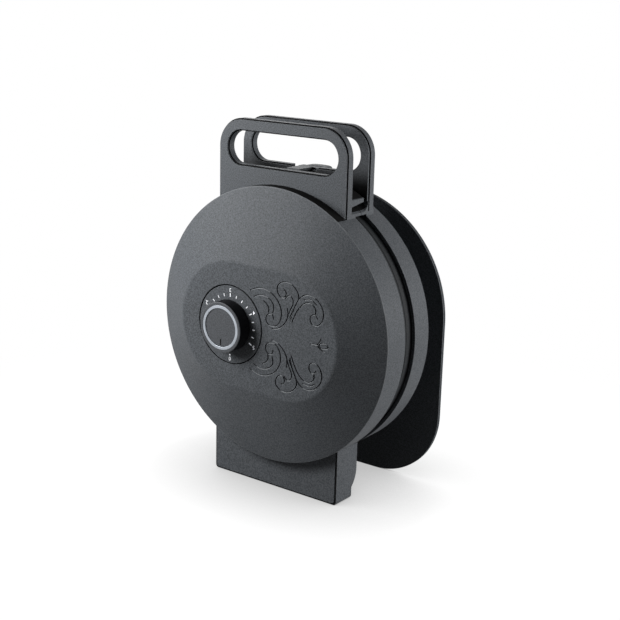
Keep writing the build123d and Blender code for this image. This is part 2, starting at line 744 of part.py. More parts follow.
with BuildPart() as thermostat_bracket:
    with BuildSketch(Plane.XY.offset(body_z - bracket_width / 2)):
        with BuildLine():
            Polyline((dial_x - bracket_half, thermostat_front_y),
                     (dial_x - bracket_half, upper_tray_y - bracket_thick),
                     (dial_x - bracket_half - bracket_foot, upper_tray_y - bracket_thick),
                     (dial_x - bracket_half - bracket_foot, upper_tray_y),
                     (dial_x - bracket_half + bracket_thick, upper_tray_y),
                     (dial_x - bracket_half + bracket_thick, thermostat_front_y),
                     (dial_x + bracket_half - bracket_thick, thermostat_front_y),
                     (dial_x + bracket_half - bracket_thick, upper_tray_y),
                     (dial_x + bracket_half + bracket_foot, upper_tray_y),
                     (dial_x + bracket_half + bracket_foot, upper_tray_y - bracket_thick),
                     (dial_x + bracket_half, upper_tray_y - bracket_thick),
                     (dial_x + bracket_half, thermostat_front_y - bracket_thick),
                     (dial_x - bracket_half, thermostat_front_y - bracket_thick),
                     (dial_x - bracket_half, thermostat_front_y))
        make_face()
    extrude(amount=bracket_width)
    with BuildSketch(facing(thermostat_front_y)):
        with Locations((dial_x, body_z)):
            Circle(bush_r + fit_clearance)
    extrude(amount=bracket_thick, mode=Mode.SUBTRACT)
save(thermostat_bracket.part, "thermostat_bracket")

with BuildPart() as bracket_rivets:
    for side in (-1, 1):
        with BuildSketch(facing(upper_tray_y - bracket_thick)):
            with Locations((dial_x + side * (bracket_half + bracket_foot / 2), body_z)):
                Circle(bracket_screw_r)
        extrude(amount=bracket_thick)
save(bracket_rivets.part, "bracket_rivets")

# ---- knob, its silver ring, grey cap and pointer, and the shaft they turn --------------------
ring_face_y = knob_face_y
cap_face_y = ring_face_y + cap_depth
knob_back_y = dial_face_y - knob_gap
socket_y = knob_face_y + ring_depth + cap_thick + knob_socket_gap
with BuildPart() as knob:
    with BuildSketch(facing(knob_back_y)):
        with Locations((dial_x, body_z)):
            Circle(knob_r)
    extrude(amount=knob_back_y - knob_face_y)
    with BuildSketch(facing(knob_face_y + ring_depth)):
        with Locations((dial_x, body_z)):
            Circle(ring_outer_r + fit_clearance)
    extrude(amount=ring_depth, mode=Mode.SUBTRACT)
    with BuildSketch(facing(knob_back_y)):
        with Locations((dial_x, body_z)):
            Circle(shaft_r + fit_clearance)
    extrude(amount=knob_back_y - socket_y, mode=Mode.SUBTRACT)
save(knob.part, "knob")

with BuildPart() as knob_ring:
    with BuildSketch(facing(ring_face_y + ring_depth)):
        with Locations((dial_x, body_z)):
            Circle(ring_outer_r)
            Circle(ring_inner_r, mode=Mode.SUBTRACT)
    extrude(amount=ring_depth)
save(knob_ring.part, "knob_ring")

with BuildPart() as knob_cap:
    with BuildSketch(facing(knob_face_y + ring_depth)):
        with Locations((dial_x, body_z)):
            Circle(ring_inner_r - fit_clearance)
    extrude(amount=ring_depth - cap_depth)
    with BuildSketch(facing(cap_face_y + pointer_thick)):
        with Locations((dial_x, body_z - (pointer_inner_r + pointer_outer_r) / 2)):
            Rectangle(pointer_width, pointer_outer_r - pointer_inner_r)
    extrude(amount=pointer_thick, mode=Mode.SUBTRACT)
save(knob_cap.part, "knob_cap")

with BuildPart() as knob_pointer:
    with BuildSketch(facing(cap_face_y + pointer_thick)):
        with Locations((dial_x, body_z - (pointer_inner_r + pointer_outer_r) / 2)):
            Rectangle(pointer_width, pointer_outer_r - pointer_inner_r)
    extrude(amount=pointer_thick)
save(knob_pointer.part, "knob_pointer")

with BuildPart() as knob_shaft:
    with BuildSketch(facing(thermostat_front_y - fit_clearance)):
        with Locations((dial_x, body_z)):
            Circle(shaft_r)
    extrude(amount=thermostat_front_y - 2 * fit_clearance - socket_y)
save(knob_shaft.part, "knob_shaft")

# ---- cord spool, foot plate, its screws and rubber feet --------------------------------------
with BuildPart() as cord_spool:
    with BuildSketch(facing(foot_front_y)):
        with Locations((0, body_z)):
            Circle(spool_r)
            Circle(spool_r - wall, mode=Mode.SUBTRACT)
            with PolarLocations(spool_screw_ring_r, 4, start_angle=45):
                Circle(spool_boss_r)
            with PolarLocations(spool_screw_ring_r + spool_boss_r, 4, start_angle=45):
                Rectangle(spool_boss_r, spool_boss_r)
            with PolarLocations(spool_screw_ring_r, 4, start_angle=45):
                Circle(spool_screw_r + fit_clearance, mode=Mode.SUBTRACT)
    extrude(amount=spool_length)
    with BuildSketch(across(-spool_r - wall)):
        with Locations(((spool_front_y + foot_front_y) / 2, body_z)):
            Circle(gland_r + fit_clearance)
    extrude(amount=3 * wall, mode=Mode.SUBTRACT)
save(cord_spool.part, "cord_spool")

with BuildPart() as foot_plate:
    with BuildSketch(facing(foot_back_y)):
        with BuildLine():
            CenterArc((0, body_z), foot_half, 0, 180)
            Line((-foot_half, body_z), (-foot_half, foot_corner))
            CenterArc((-foot_half + foot_corner, foot_corner), foot_corner, 180, 90)
            Line((-foot_half + foot_corner, 0), (foot_half - foot_corner, 0))
            CenterArc((foot_half - foot_corner, foot_corner), foot_corner, 270, 90)
            Line((foot_half, foot_corner), (foot_half, body_z))
        make_face()
    extrude(amount=foot_thick)
    chamfer(edges().group_by(Axis.Y)[0], length=foot_edge_chamfer)
    chamfer(edges().group_by(Axis.Y)[-1], length=foot_edge_chamfer)
    with BuildSketch(facing(foot_back_y)):
        with Locations((0, body_z)):
            with PolarLocations(spool_screw_ring_r, 4, start_angle=45):
                Circle(spool_screw_head_r + fit_clearance)
    extrude(amount=screw_head_height, mode=Mode.SUBTRACT)
    with BuildSketch(facing(foot_back_y)):
        with Locations((0, body_z)):
            with PolarLocations(spool_screw_ring_r, 4, start_angle=45):
                Circle(spool_screw_r + fit_clearance)
    extrude(amount=foot_thick, mode=Mode.SUBTRACT)
save(foot_plate.part, "foot_plate")

with BuildPart() as foot_screws:
    with BuildSketch(facing(foot_back_y)):
        with Locations((0, body_z)):
            with PolarLocations(spool_screw_ring_r, 4, start_angle=45):
                Circle(spool_screw_head_r)
    extrude(amount=screw_head_height)
    with BuildSketch(facing(foot_back_y - screw_head_height)):
        with Locations((0, body_z)):
            with PolarLocations(spool_screw_ring_r, 4, start_angle=45):
                Circle(spool_screw_r)
    extrude(amount=foot_thick - screw_head_height + spool_length + spool_screw_grip - fit_clearance)
save(foot_screws.part, "foot_screws")

with BuildPart() as rubber_feet:
    with BuildSketch(facing(pad_back_y)):
        with Locations((-pad_x, pad_low_z), (pad_x, pad_low_z), (-pad_x, pad_high_z), (pad_x, pad_high_z)):
            Circle(pad_r)
    extrude(amount=pad_height)
save(rubber_feet.part, "rubber_feet")

# ---- cord gland, terminal block and thermal fuse ---------------------------------------------
gland_y = (spool_front_y + foot_front_y) / 2
with BuildPart() as cord_gland:
    with BuildSketch(across(-spool_r - gland_flange_thick)):
        with Locations((gland_y, body_z)):
            Circle(gland_r)
            Circle(gland_bore_r, mode=Mode.SUBTRACT)
    extrude(amount=wall + gland_flange_thick + gland_nose)
    with BuildSketch(across(-spool_r)):
        with Locations((gland_y, body_z)):
            Circle(gland_flange_r)
            Circle(gland_bore_r, mode=Mode.SUBTRACT)
    extrude(amount=-gland_flange_thick)
save(cord_gland.part, "cord_gland")

with BuildPart() as terminal_block:
    with BuildSketch(facing(underside_floor_y)):
        with Locations((0, body_z)):
            Rectangle(block_length, block_width)
    extrude(amount=block_height)
    with BuildSketch(facing(underside_floor_y)):
        with Locations((0, body_z)):
            with GridLocations(block_length / 3, block_width / 2, 3, 2):
                Circle(bracket_screw_r)
    extrude(amount=block_height, mode=Mode.SUBTRACT)
save(terminal_block.part, "terminal_block")

fuse_seat_y = base_boss_front_y + reflector_depth
fuse_z = body_z + fuse_rise
with BuildPart() as thermal_fuse:
    with BuildSketch(across(-fuse_length / 2)):
        with Locations((fuse_seat_y + fuse_r, fuse_z)):
            Circle(fuse_r)
    extrude(amount=fuse_length)
save(thermal_fuse.part, "thermal_fuse")

with BuildPart() as fuse_strap:
    with BuildSketch(across(-strap_width / 2)):
        with Locations((fuse_seat_y + fuse_r, fuse_z)):
            Circle(fuse_r + fit_clearance + strap_thick)
        with Locations((fuse_seat_y + fuse_r / 2, fuse_z)):
            Rectangle(fuse_r, 2 * (fuse_r + fit_clearance + strap_thick))
        with Locations((fuse_seat_y + strap_thick / 2, fuse_z)):
            Rectangle(strap_thick, 2 * (fuse_r + strap_thick + strap_foot))
        with Locations((fuse_seat_y + fuse_r, fuse_z)):
            Circle(fuse_r + fit_clearance, mode=Mode.SUBTRACT)
        with Locations((fuse_seat_y + fuse_r / 2, fuse_z)):
            Rectangle(fuse_r, 2 * (fuse_r + fit_clearance), mode=Mode.SUBTRACT)
        with Locations((fuse_seat_y - fuse_r, fuse_z)):
            Rectangle(2 * fuse_r, 4 * (fuse_r + strap_foot), mode=Mode.SUBTRACT)
    extrude(amount=strap_width)
save(fuse_strap.part, "fuse_strap")
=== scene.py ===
"""Electric krumkake iron, stored upright on its hinge block and its foot plate.

Sizes are in millimetres where they are written, in the part's own frame: X to the right, Y from
the dial at the front to the foot plate at the back, Z up.
"""

from math import asin, cos, degrees, pi, radians, sin

import bpy
from mathutils import Euler, Matrix, Vector


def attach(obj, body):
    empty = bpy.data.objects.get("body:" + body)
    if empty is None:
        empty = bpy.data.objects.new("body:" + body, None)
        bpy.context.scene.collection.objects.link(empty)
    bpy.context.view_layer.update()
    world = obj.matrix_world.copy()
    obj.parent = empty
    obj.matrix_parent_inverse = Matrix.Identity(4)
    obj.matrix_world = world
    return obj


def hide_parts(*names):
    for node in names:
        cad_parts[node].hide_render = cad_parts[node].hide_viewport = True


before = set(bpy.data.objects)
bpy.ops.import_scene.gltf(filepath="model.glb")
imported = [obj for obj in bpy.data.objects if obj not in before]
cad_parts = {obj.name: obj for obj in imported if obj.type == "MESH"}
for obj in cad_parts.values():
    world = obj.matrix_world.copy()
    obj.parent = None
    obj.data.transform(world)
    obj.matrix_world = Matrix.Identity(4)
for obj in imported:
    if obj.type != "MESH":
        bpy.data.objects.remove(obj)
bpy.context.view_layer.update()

# ---- Base shell ----------------------------------------------------------------------------------
# The deep moulding behind the baking plates: a round band, a shallow cone down to the cord spool
# and two lugs that take the hinge pins. Injection-moulded charcoal plastic with a fine grain.
mm = 0.001
axis_z = 132.5              # height of the middle of both round shells
step = 2                    # degrees between the points of every large circle
pivot_y, pivot_z = -6.6, 22.0
base_front, base_back, cone_back = 0.3, 19.1, 30.1
base_r, base_inner_r, cone_r = 106.8, 104.2, 60.0
wall = 2.6


def only(piece):
    """Selects one piece alone, as every operator acts on all that is selected."""
    if bpy.context.mode == "EDIT_MESH":
        bpy.ops.object.mode_set(mode="OBJECT")
    bpy.ops.object.select_all(action="DESELECT")
    piece.select_set(True)
    bpy.context.view_layer.objects.active = piece


def open_whole(piece):
    """Opens the piece for editing with all of it selected."""
    only(piece)
    bpy.ops.object.mode_set(mode="EDIT")
    bpy.ops.mesh.select_all(action="SELECT")


def pick(piece, kind, wanted):
    """Opens the piece for editing with only the edges or faces selected that pass the test."""
    only(piece)
    bpy.ops.object.mode_set(mode="EDIT")
    bpy.ops.mesh.select_mode(type=kind)
    bpy.ops.mesh.select_all(action="DESELECT")
    bpy.ops.object.mode_set(mode="OBJECT")
    if kind == "FACE":
        for face in piece.data.polygons:
            face.select = wanted(face.center / mm, face.normal)
    else:
        for edge in piece.data.edges:
            one, other = (piece.data.vertices[i].co / mm for i in edge.vertices)
            edge.select = wanted(one, other)
    bpy.ops.object.mode_set(mode="EDIT")


def outline(name, points):
    """A closed line through the points."""
    bpy.ops.mesh.primitive_circle_add(vertices=len(points), radius=mm)
    piece = bpy.context.active_object
    piece.name = piece.data.name = name
    for corner, point in zip(piece.data.vertices, points):
        corner.co = Vector(point) * mm
    return piece


def tidy_mesh():
    """Merges what meets and turns the faces outwards, while the piece is open for editing."""
    bpy.ops.mesh.select_all(action="SELECT")
    bpy.ops.mesh.remove_doubles(threshold=0.002 * mm)
    bpy.ops.mesh.dissolve_degenerate(threshold=0.001 * mm)
    bpy.ops.mesh.delete_loose()
    bpy.ops.mesh.select_all(action="SELECT")
    bpy.ops.mesh.normals_make_consistent(inside=False)
    bpy.ops.object.mode_set(mode="OBJECT")


def slab(name, points, run):
    """The outline filled and drawn out by run, a distance in x, y and z."""
    piece = outline(name, points)
    open_whole(piece)
    bpy.ops.mesh.edge_face_add()
    bpy.ops.mesh.extrude_region_move(TRANSFORM_OT_translate={"value": Vector(run) * mm})
    tidy_mesh()
    return piece


def turned(name, profile, at=(0, axis_z), sweep=360, along="Y"):
    """A profile of (place on the axis, radius) turned about an axis along Y, or along X."""
    if along == "Y":
        points = [(at[0], y, at[1] + r) for y, r in profile]
        centre, axis = (at[0] * mm, 0, at[1] * mm), (0, 1, 0)
    else:
        points = [(x, at[0], at[1] + r) for x, r in profile]
        centre, axis = (0, at[0] * mm, at[1] * mm), (1, 0, 0)
    piece = outline(name, points)
    open_whole(piece)
    if sweep < 360:
        bpy.ops.mesh.edge_face_add()
        bpy.ops.transform.rotate(value=-radians(sweep / 2), orient_axis=along, center_override=centre)
    largest = max(r for _, r in profile)
    turns = sweep // (step if largest > 40 else 4 if largest > 12 else 10)
    bpy.ops.mesh.spin(steps=turns, angle=radians(sweep), center=centre, axis=axis)
    tidy_mesh()
    return piece


def block(name, low, high):
    """A box between two corners."""
    bpy.ops.mesh.primitive_cube_add(size=1, location=(Vector(low) + Vector(high)) * mm / 2)
    piece = bpy.context.active_object
    piece.name = piece.data.name = name
    piece.scale = (Vector(high) - Vector(low)) * mm
    bpy.ops.object.transform_apply(location=True, rotation=True, scale=True)
    return piece


def join(name, pieces):
    """Several pieces as one object."""
    only(pieces[0])
    for piece in pieces:
        piece.select_set(True)
    bpy.ops.object.join()
    pieces[0].name = pieces[0].data.name = name
    return pieces[0]


def work(piece, tool, operation):
    """Welds a tool to the piece, or cuts it out of the piece. The tool is used up."""
    only(piece)
    change = piece.modifiers.new("shape", "BOOLEAN")
    change.operation, change.solver, change.object = operation, "EXACT", tool
    bpy.ops.object.modifier_apply(modifier=change.name)
    bpy.data.objects.remove(tool)
    open_whole(piece)
    bpy.ops.mesh.remove_doubles(threshold=0.0005 * mm)
    bpy.ops.object.mode_set(mode="OBJECT")


def weld(piece, *tools):
    for tool in tools:
        work(piece, tool, "UNION")


def cut(piece, *tools):
    for tool in tools:
        work(piece, tool, "DIFFERENCE")


def trim(piece, point, towards):
    """Cuts off what lies beyond a flat plane and closes the cut."""
    open_whole(piece)
    bpy.ops.mesh.bisect(plane_co=Vector(point) * mm, plane_no=towards, use_fill=True, clear_outer=True)
    tidy_mesh()


def soften(piece, width, segments=2, sharper_than=28, edge_place=-1):
    """Rounds the sharp edges of a moulding and shades its faces smoothly. The rounded edges take the
    material at edge_place, or by default that of the faces beside them."""
    open_whole(piece)
    bpy.ops.mesh.dissolve_limited(angle_limit=radians(0.3))
    bpy.ops.object.mode_set(mode="OBJECT")
    if width:
        rounding = piece.modifiers.new("edges", "BEVEL")
        rounding.width, rounding.segments = width * mm, segments
        rounding.limit_method, rounding.angle_limit = "ANGLE", radians(sharper_than)
        rounding.miter_outer, rounding.material = "MITER_ARC", edge_place
        bpy.ops.object.modifier_apply(modifier=rounding.name)
    bpy.ops.object.shade_smooth_by_angle(angle=radians(26))
    evening = piece.modifiers.new("normals", "WEIGHTED_NORMAL")
    evening.mode, evening.weight, evening.keep_sharp = "FACE_AREA", 80, True
    bpy.ops.object.modifier_apply(modifier=evening.name)


def arc(radius, start, end, middle=(0, 0), spacing=step):
    """Points on an arc, as pairs, with the angles in degrees from the first direction."""
    count = max(2, round(abs(end - start) / spacing))
    angles = (radians(start + (end - start) * i / count) for i in range(count + 1))
    return [(middle[0] + radius * cos(a), middle[1] + radius * sin(a)) for a in angles]


def new_stuff(name):
    """A material with its nodes, its links, its shader and the piece's own coordinates."""
    stuff = bpy.data.materials.new(name)
    stuff.use_nodes = True
    nodes = stuff.node_tree.nodes
    place = nodes.new("ShaderNodeTexCoord").outputs["Object"]
    return stuff, nodes, stuff.node_tree.links, nodes["Principled BSDF"], place


def mottle(nodes, links, place, scale, detail, rough=0.5):
    """Cloudy noise, from 0 to 1."""
    noise = nodes.new("ShaderNodeTexNoise")
    noise.inputs["Scale"].default_value = scale
    noise.inputs["Detail"].default_value = detail
    noise.inputs["Roughness"].default_value = rough
    links.new(place, noise.inputs["Vector"])
    return noise.outputs["Fac"]


def spread(nodes, links, value, low, high, start=0, end=1):
    """Carries a value from the range start to end over to the range low to high."""
    reach = nodes.new("ShaderNodeMapRange")
    for socket, size in (("To Min", low), ("To Max", high), ("From Min", start), ("From Max", end)):
        reach.inputs[socket].default_value = size
    links.new(value, reach.inputs["Value"])
    return reach.outputs["Result"]


def two_tone(nodes, links, value, places, low, high):
    """Carries a value over to a colour between two, from one place to the other."""
    ramp = nodes.new("ShaderNodeValToRGB")
    for mark, at, colour in zip(ramp.color_ramp.elements, places, (low, high)):
        mark.position, mark.color = at, (*colour, 1)
    links.new(value, ramp.inputs["Fac"])
    return ramp.outputs["Color"]


def roughen(nodes, links, shader, value, strength, depth):
    """A fine relief in the shading of the surface."""
    relief = nodes.new("ShaderNodeBump")
    relief.inputs["Strength"].default_value, relief.inputs["Distance"].default_value = strength, depth * mm
    links.new(value, relief.inputs["Height"])
    links.new(relief.outputs["Normal"], shader.inputs["Normal"])


def moulded_plastic(name, colour, roughness=0.5, gloss=0.35, grain=1.0, fade=None):
    """Charcoal plastic with a spark-eroded grain: fine bright and dark specks, a slow change of tone
    from the flow of the melt, and a slightly uneven sheen. With fade, a pair of heights, it is painted
    darker from the second height down to black at the first, as painted shade."""
    stuff, nodes, links, shader, place = new_stuff(name)
    shader.inputs["Specular IOR Level"].default_value = gloss
    specks = mottle(nodes, links, place, 1150, 2, 0.6)
    tone = two_tone(nodes, links, specks, (0.36, 0.66), [c * (1 - 0.35 * grain) for c in colour],
                    [c * (1 + 0.35 * grain) for c in colour])
    drift = two_tone(nodes, links, mottle(nodes, links, place, 28, 2, 0.6), (0, 1),
                     (0.42, 0.46, 0.56), (0.56, 0.52, 0.48))
    flow = nodes.new("ShaderNodeMix")
    flow.data_type, flow.blend_type = "RGBA", "OVERLAY"
    flow.inputs["Factor"].default_value = 0.12
    links.new(tone, flow.inputs["A"])
    links.new(drift, flow.inputs["B"])
    links.new(flow.outputs["Result"], shader.inputs["Base Color"])
    if fade:
        height = nodes.new("ShaderNodeSeparateXYZ")
        links.new(place, height.inputs["Vector"])
        depth = spread(nodes, links, height.outputs["Z"], 0, 1, fade[0] * mm, fade[1] * mm)
        dark = nodes.new("ShaderNodeMix")
        dark.data_type, dark.blend_type = "RGBA", "MULTIPLY"
        dark.inputs["Factor"].default_value = 1
        links.new(flow.outputs["Result"], dark.inputs["A"])
        links.new(depth, dark.inputs["B"])
        links.new(dark.outputs["Result"], shader.inputs["Base Color"])
    patches = mottle(nodes, links, place, 420, 2, 0.6)
    links.new(spread(nodes, links, patches, roughness - 0.06, roughness + 0.08), shader.inputs["Roughness"])
    roughen(nodes, links, shader, mottle(nodes, links, place, 1300, 4, 0.6), 0.35 * grain, 0.12)
    return stuff


def wear(piece, *stuffs):
    """Gives a piece its material, or several in order of their places."""
    piece.data.materials.clear()
    for stuff in stuffs:
        piece.data.materials.append(stuff)


def paint(piece, stuff, inside):
    """Gives one more material to the faces whose corners all pass the test."""
    piece.data.materials.append(stuff)
    corners = piece.data.vertices
    for face in piece.data.polygons:
        if all(inside(corners[i].co / mm) for i in face.vertices):
            face.material_index = len(piece.data.materials) - 1


def off_axis(p):
    """How far a place is from the axis of the round shells."""
    return Vector((p.x, p.z - axis_z)).length


def dress(node, stuff):
    """Gives a solid carried over from the model one material."""
    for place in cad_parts[node].material_slots:
        place.material = stuff


shell_plastic = moulded_plastic("shell plastic", (0.094, 0.101, 0.109), gloss=0.1)
# Lighter plastic laid on rounded edges, and on engraved walls that face the lamp, as painted highlight.
edge_highlight_plastic = moulded_plastic("painted edge highlight", (0.17, 0.18, 0.19), gloss=0.15, grain=0.3)
base_shell = turned("base_shell_moulding", [
    (cone_back, 0), (cone_back, cone_r), (base_back, base_r), (base_front, base_r),
    (base_front, base_inner_r), (base_back - wall, base_inner_r), (cone_back - wall, cone_r),
    (cone_back - wall, 0)])
for side in (-1, 1):
    lug = slab("lug", [(side * 30, pivot_y - 7.5 * sin(radians(a)), pivot_z + 7.5 * cos(radians(a)))
                       for a in range(0, 181, 10)]
               + [(side * 30, 9.8, 24), (side * 30, 9.8, 38), (side * 30, 1.3, 38), (side * 30, 1.3, 29.5)],
               (side * 12, 0, 0))
    cut(lug, turned("room", [(base_front - 1, 0), (base_front - 1, base_inner_r + 0.3),
                             (base_back, base_inner_r + 0.3), (base_back, 0)]))
    weld(base_shell, lug)
cut(base_shell, turned("pin hole", [(-60, 0), (-60, 3.05), (60, 3.05), (60, 0)],
                       (pivot_y, pivot_z), along="X"))
soften(base_shell, 0.35, edge_place=1)
# Its rounded edges are painted lighter, as painted highlight.
wear(base_shell, shell_plastic, edge_highlight_plastic)
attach(base_shell, "base")
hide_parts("base_shell")

# ---- Cord spool and gland ------------------------------------------------------------------------
# The drum between the base and the foot plate, round which the lead is wound. It is moulded with
# four screw bosses inside, and a rubber gland lines the hole where the lead comes out of its wall.
dress("cord_spool", moulded_plastic("spool plastic", (0.036, 0.038, 0.041), roughness=0.55))
gland_y = 43.45
rubber = moulded_plastic("rubber", (0.022, 0.022, 0.023), roughness=0.7, gloss=0.25, grain=0.6)
gland = turned("cord_gland_ring", [
    (-51.4, 3.4), (-52, 3.9), (-52, 6.6), (-51.2, 7.6), (-50, 7.6), (-50, 5.5), (-46.5, 5.5),
    (-46.5, 5.1), (-45.7, 5.1), (-45.7, 5.5), (-44.4, 5.5), (-44.4, 5.1), (-43.6, 5.1), (-43.6, 5.5),
    (-42.4, 5.1), (-42.4, 3.4)], (gland_y, axis_z), along="X")
soften(gland, 0.15)
wear(gland, rubber)
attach(gland, "base")
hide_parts("cord_gland")

# ---- Foot plate ----------------------------------------------------------------------------------
# The flat back that the iron lies on when it bakes and leans on when it is stored. Two skins of one
# moulding with a shadow groove round the edge, and a ring groove where the spool is screwed on.
foot_front, foot_back = 56.8, 60.0
foot_half, foot_corner = 97.2, 57.0


def foot_outline(y, inset):
    r, c = foot_half - inset, foot_corner - inset
    low = [(-foot_half + foot_corner, foot_corner), (foot_half - foot_corner, foot_corner)]
    flat = (arc(r, 0, 180, (0, axis_z)) + arc(c, 180, 270, low[0], 3) + arc(c, 270, 360, low[1], 3))
    return [(x, y, z) for x, z in flat]


foot_plate = slab("foot_plate_moulding", foot_outline(foot_front, 0), (0, 1.3, 0))
weld(foot_plate, slab("core", foot_outline(foot_front + 1, 0.6), (0, 1.2, 0)),
     slab("skin", foot_outline(foot_back, 0), (0, -1.25, 0)))
soften(foot_plate, 0.25, edge_place=1)
screw_places = [(40 * cos(radians(a)), axis_z + 40 * sin(radians(a))) for a in (45, 135, 225, 315)]
for place in screw_places:
    cut(foot_plate, turned("pocket", [(foot_back - 2, 0), (foot_back - 2, 4.1), (foot_back + 1, 4.1),
                                      (foot_back + 1, 0)], place))
cut(foot_plate, turned("ring groove", [(foot_back - 0.5, 51.4), (foot_back + 0.3, 51.0),
                                       (foot_back + 0.3, 52.4), (foot_back - 0.5, 52.0)]))
soften(foot_plate, 0)
# Its rounded edges are painted lighter, as painted highlight.
wear(foot_plate, shell_plastic, edge_highlight_plastic)
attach(foot_plate, "base")
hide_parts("foot_plate")

# ---- Screws of the foot plate --------------------------------------------------------------------
# Four long zinc-plated screws hold the foot plate and the spool to the base. Each has a flat head
# with a cross recess, and the one modelled is copied to the other three places.


def screw(name, place, head_y, head_r, head_high, shank_r, shank_end, inward):
    """A pan-head screw along Y. Its head stands on head_y, and inward is the way it is driven."""
    top = head_y - inward * head_high
    piece = turned(name, [(top, 0), (top, head_r * 0.6), (top + inward * 0.25 * head_high, head_r * 0.93),
                          (top + inward * 0.6 * head_high, head_r), (head_y, head_r), (head_y, shank_r),
                          (shank_end, shank_r), (shank_end, 0)], place)
    arm, slit = head_r * 0.55, head_r * 0.13
    for long, short in ((arm, slit), (slit, arm)):
        cut(piece, block("recess", (place[0] - long, min(top - 0.2, top + inward * 0.9), place[1] - short),
                         (place[0] + long, max(top + 0.2, top + inward * 0.9), place[1] + short)))
    soften(piece, 0)
    return piece


def bare_metal(name, colour, roughness, brushed=1.0, stretch=(1, 1, 1)):
    """Metal with fine drawing marks, small stains and a sheen that changes over it."""
    stuff, nodes, links, shader, place = new_stuff(name)
    shader.inputs["Metallic"].default_value = 1.0
    lay = nodes.new("ShaderNodeMapping")
    lay.inputs["Scale"].default_value = stretch
    links.new(place, lay.inputs["Vector"])
    marks = mottle(nodes, links, lay.outputs["Vector"], 900, 3)
    stain = mottle(nodes, links, place, 90, 4)
    tone = two_tone(nodes, links, stain, (0.3, 0.7), [c * 0.78 for c in colour], colour)
    links.new(tone, shader.inputs["Base Color"])
    links.new(spread(nodes, links, marks, roughness - 0.08, roughness + 0.12), shader.inputs["Roughness"])
    roughen(nodes, links, shader, marks, 0.12 * brushed, 0.05)
    return stuff


def copies(name, piece, shifts):
    """The piece once more at each shift, with a mesh of its own, all as one object."""
    made = [piece]
    for shift in shifts:
        twin = piece.copy()
        twin.data = piece.data.copy()
        bpy.context.scene.collection.objects.link(twin)
        twin.data.transform(Matrix.Translation(Vector(shift) * mm))
        made.append(twin)
    return join(name, made)


zinc = bare_metal("zinc-plated steel", (0.62, 0.63, 0.64), 0.32)
first = screw_places[0]
foot_screws = copies(
    "foot_screw_set", screw("foot_screw", first, 58.2, 3.9, 1.7, 2.0, 22.5, -1),
    [(x - first[0], 0, z - first[1]) for x, z in screw_places[1:]])
wear(foot_screws, zinc)
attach(foot_screws, "base")
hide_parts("foot_screws")

# ---- Rubber feet ---------------------------------------------------------------------------------
# Four round pads of black rubber glued to the foot plate. The rim is rounded and the face is
# slightly dished, so that it grips.
pad_places = [(-66, 36), (66, 36), (-66, 182), (66, 182)]
pad = turned("rubber_pad", [
    (foot_back, 0), (foot_back, 8.0), (61.6, 7.9), (62.2, 7.5), (62.5, 6.9), (62.6, 6.2), (62.55, 5.6),
    (62.1, 4.9), (61.9, 3), (61.85, 0)], pad_places[0])
soften(pad, 0)
rubber_feet = copies("rubber_pad_set", pad,
                     [(x - pad_places[0][0], 0, z - pad_places[0][1]) for x, z in pad_places[1:]])
wear(rubber_feet, rubber)
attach(rubber_feet, "base")
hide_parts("rubber_feet")

# ---- Wiring in the base --------------------------------------------------------------------------
# The terminal block of dark phenolic, the thermal fuse in its glass-sleeved case and the steel strap
# that holds the fuse. All of it sits under the lower heat shield.
dress("terminal_block", moulded_plastic("phenolic", (0.11, 0.075, 0.05), roughness=0.42, grain=0.8))
dress("thermal_fuse", moulded_plastic("fuse sleeve", (0.55, 0.53, 0.48), roughness=0.6, grain=0.5))
dress("fuse_strap", bare_metal("strip steel", (0.5, 0.5, 0.5), 0.38, stretch=(0.15, 1, 1)))

# ---- Heat shields and heating elements -----------------------------------------------------------
# Pressed trays of aluminised sheet behind both plates, and the tube heaters clamped in a channel at
# the back of each plate. The tubes have the dull olive grey of steel that has been red hot.
shield_sheet = bare_metal("aluminised sheet", (0.58, 0.58, 0.57), 0.36, stretch=(1, 1, 0.12))
heater_tube = bare_metal("heater tube", (0.2, 0.19, 0.17), 0.5, brushed=2)
for half in ("lower", "upper"):
    dress(f"{half}_reflector", shield_sheet)
    dress(f"{half}_element", heater_tube)

# ---- Baking plates -------------------------------------------------------------------------------
# Two cast plates with a raised pattern that prints the wafer: twelve petals, a wreath of curls and
# small leaves, and a border of scallops. The casting is coated dark grey with a soft sheen.
plates_meet = -9.0
plate_r, rim_in = 103.4, 97.0
plate_screw_ring, plate_screw_angles = 98.6, (64, 116, 244, 296)


def line_tube(name, points, thick, close=False):
    """A raised line through the points, round in section, as a mesh with closed ends."""
    curve = bpy.data.curves.new(name, "CURVE")
    curve.dimensions, curve.bevel_depth, curve.bevel_resolution = "3D", thick * mm, 1
    curve.use_fill_caps, curve.resolution_u = True, 5
    spline = curve.splines.new("NURBS")
    spline.points.add(len(points) - 1)
    for knot, point in zip(spline.points, points):
        knot.co = (*(Vector(point) * mm), 1)
    spline.order_u, spline.use_endpoint_u, spline.use_cyclic_u = 3, not close, close
    piece = bpy.data.objects.new(name, curve)
    bpy.context.scene.collection.objects.link(piece)
    only(piece)
    bpy.ops.object.convert(target="MESH")
    piece = bpy.context.active_object
    bpy.ops.object.mode_set(mode="EDIT")
    tidy_mesh()
    return piece


def coated_casting(name, colour):
    """Cast aluminium under a baked coating: an even dark grey with pits and a soft sheen."""
    stuff = moulded_plastic(name, colour, roughness=0.42, gloss=0.5, grain=0.8)
    stuff.node_tree.nodes["Principled BSDF"].inputs["Coat Weight"].default_value = 0.15
    stuff.node_tree.nodes["Principled BSDF"].inputs["Coat Roughness"].default_value = 0.35
    return stuff


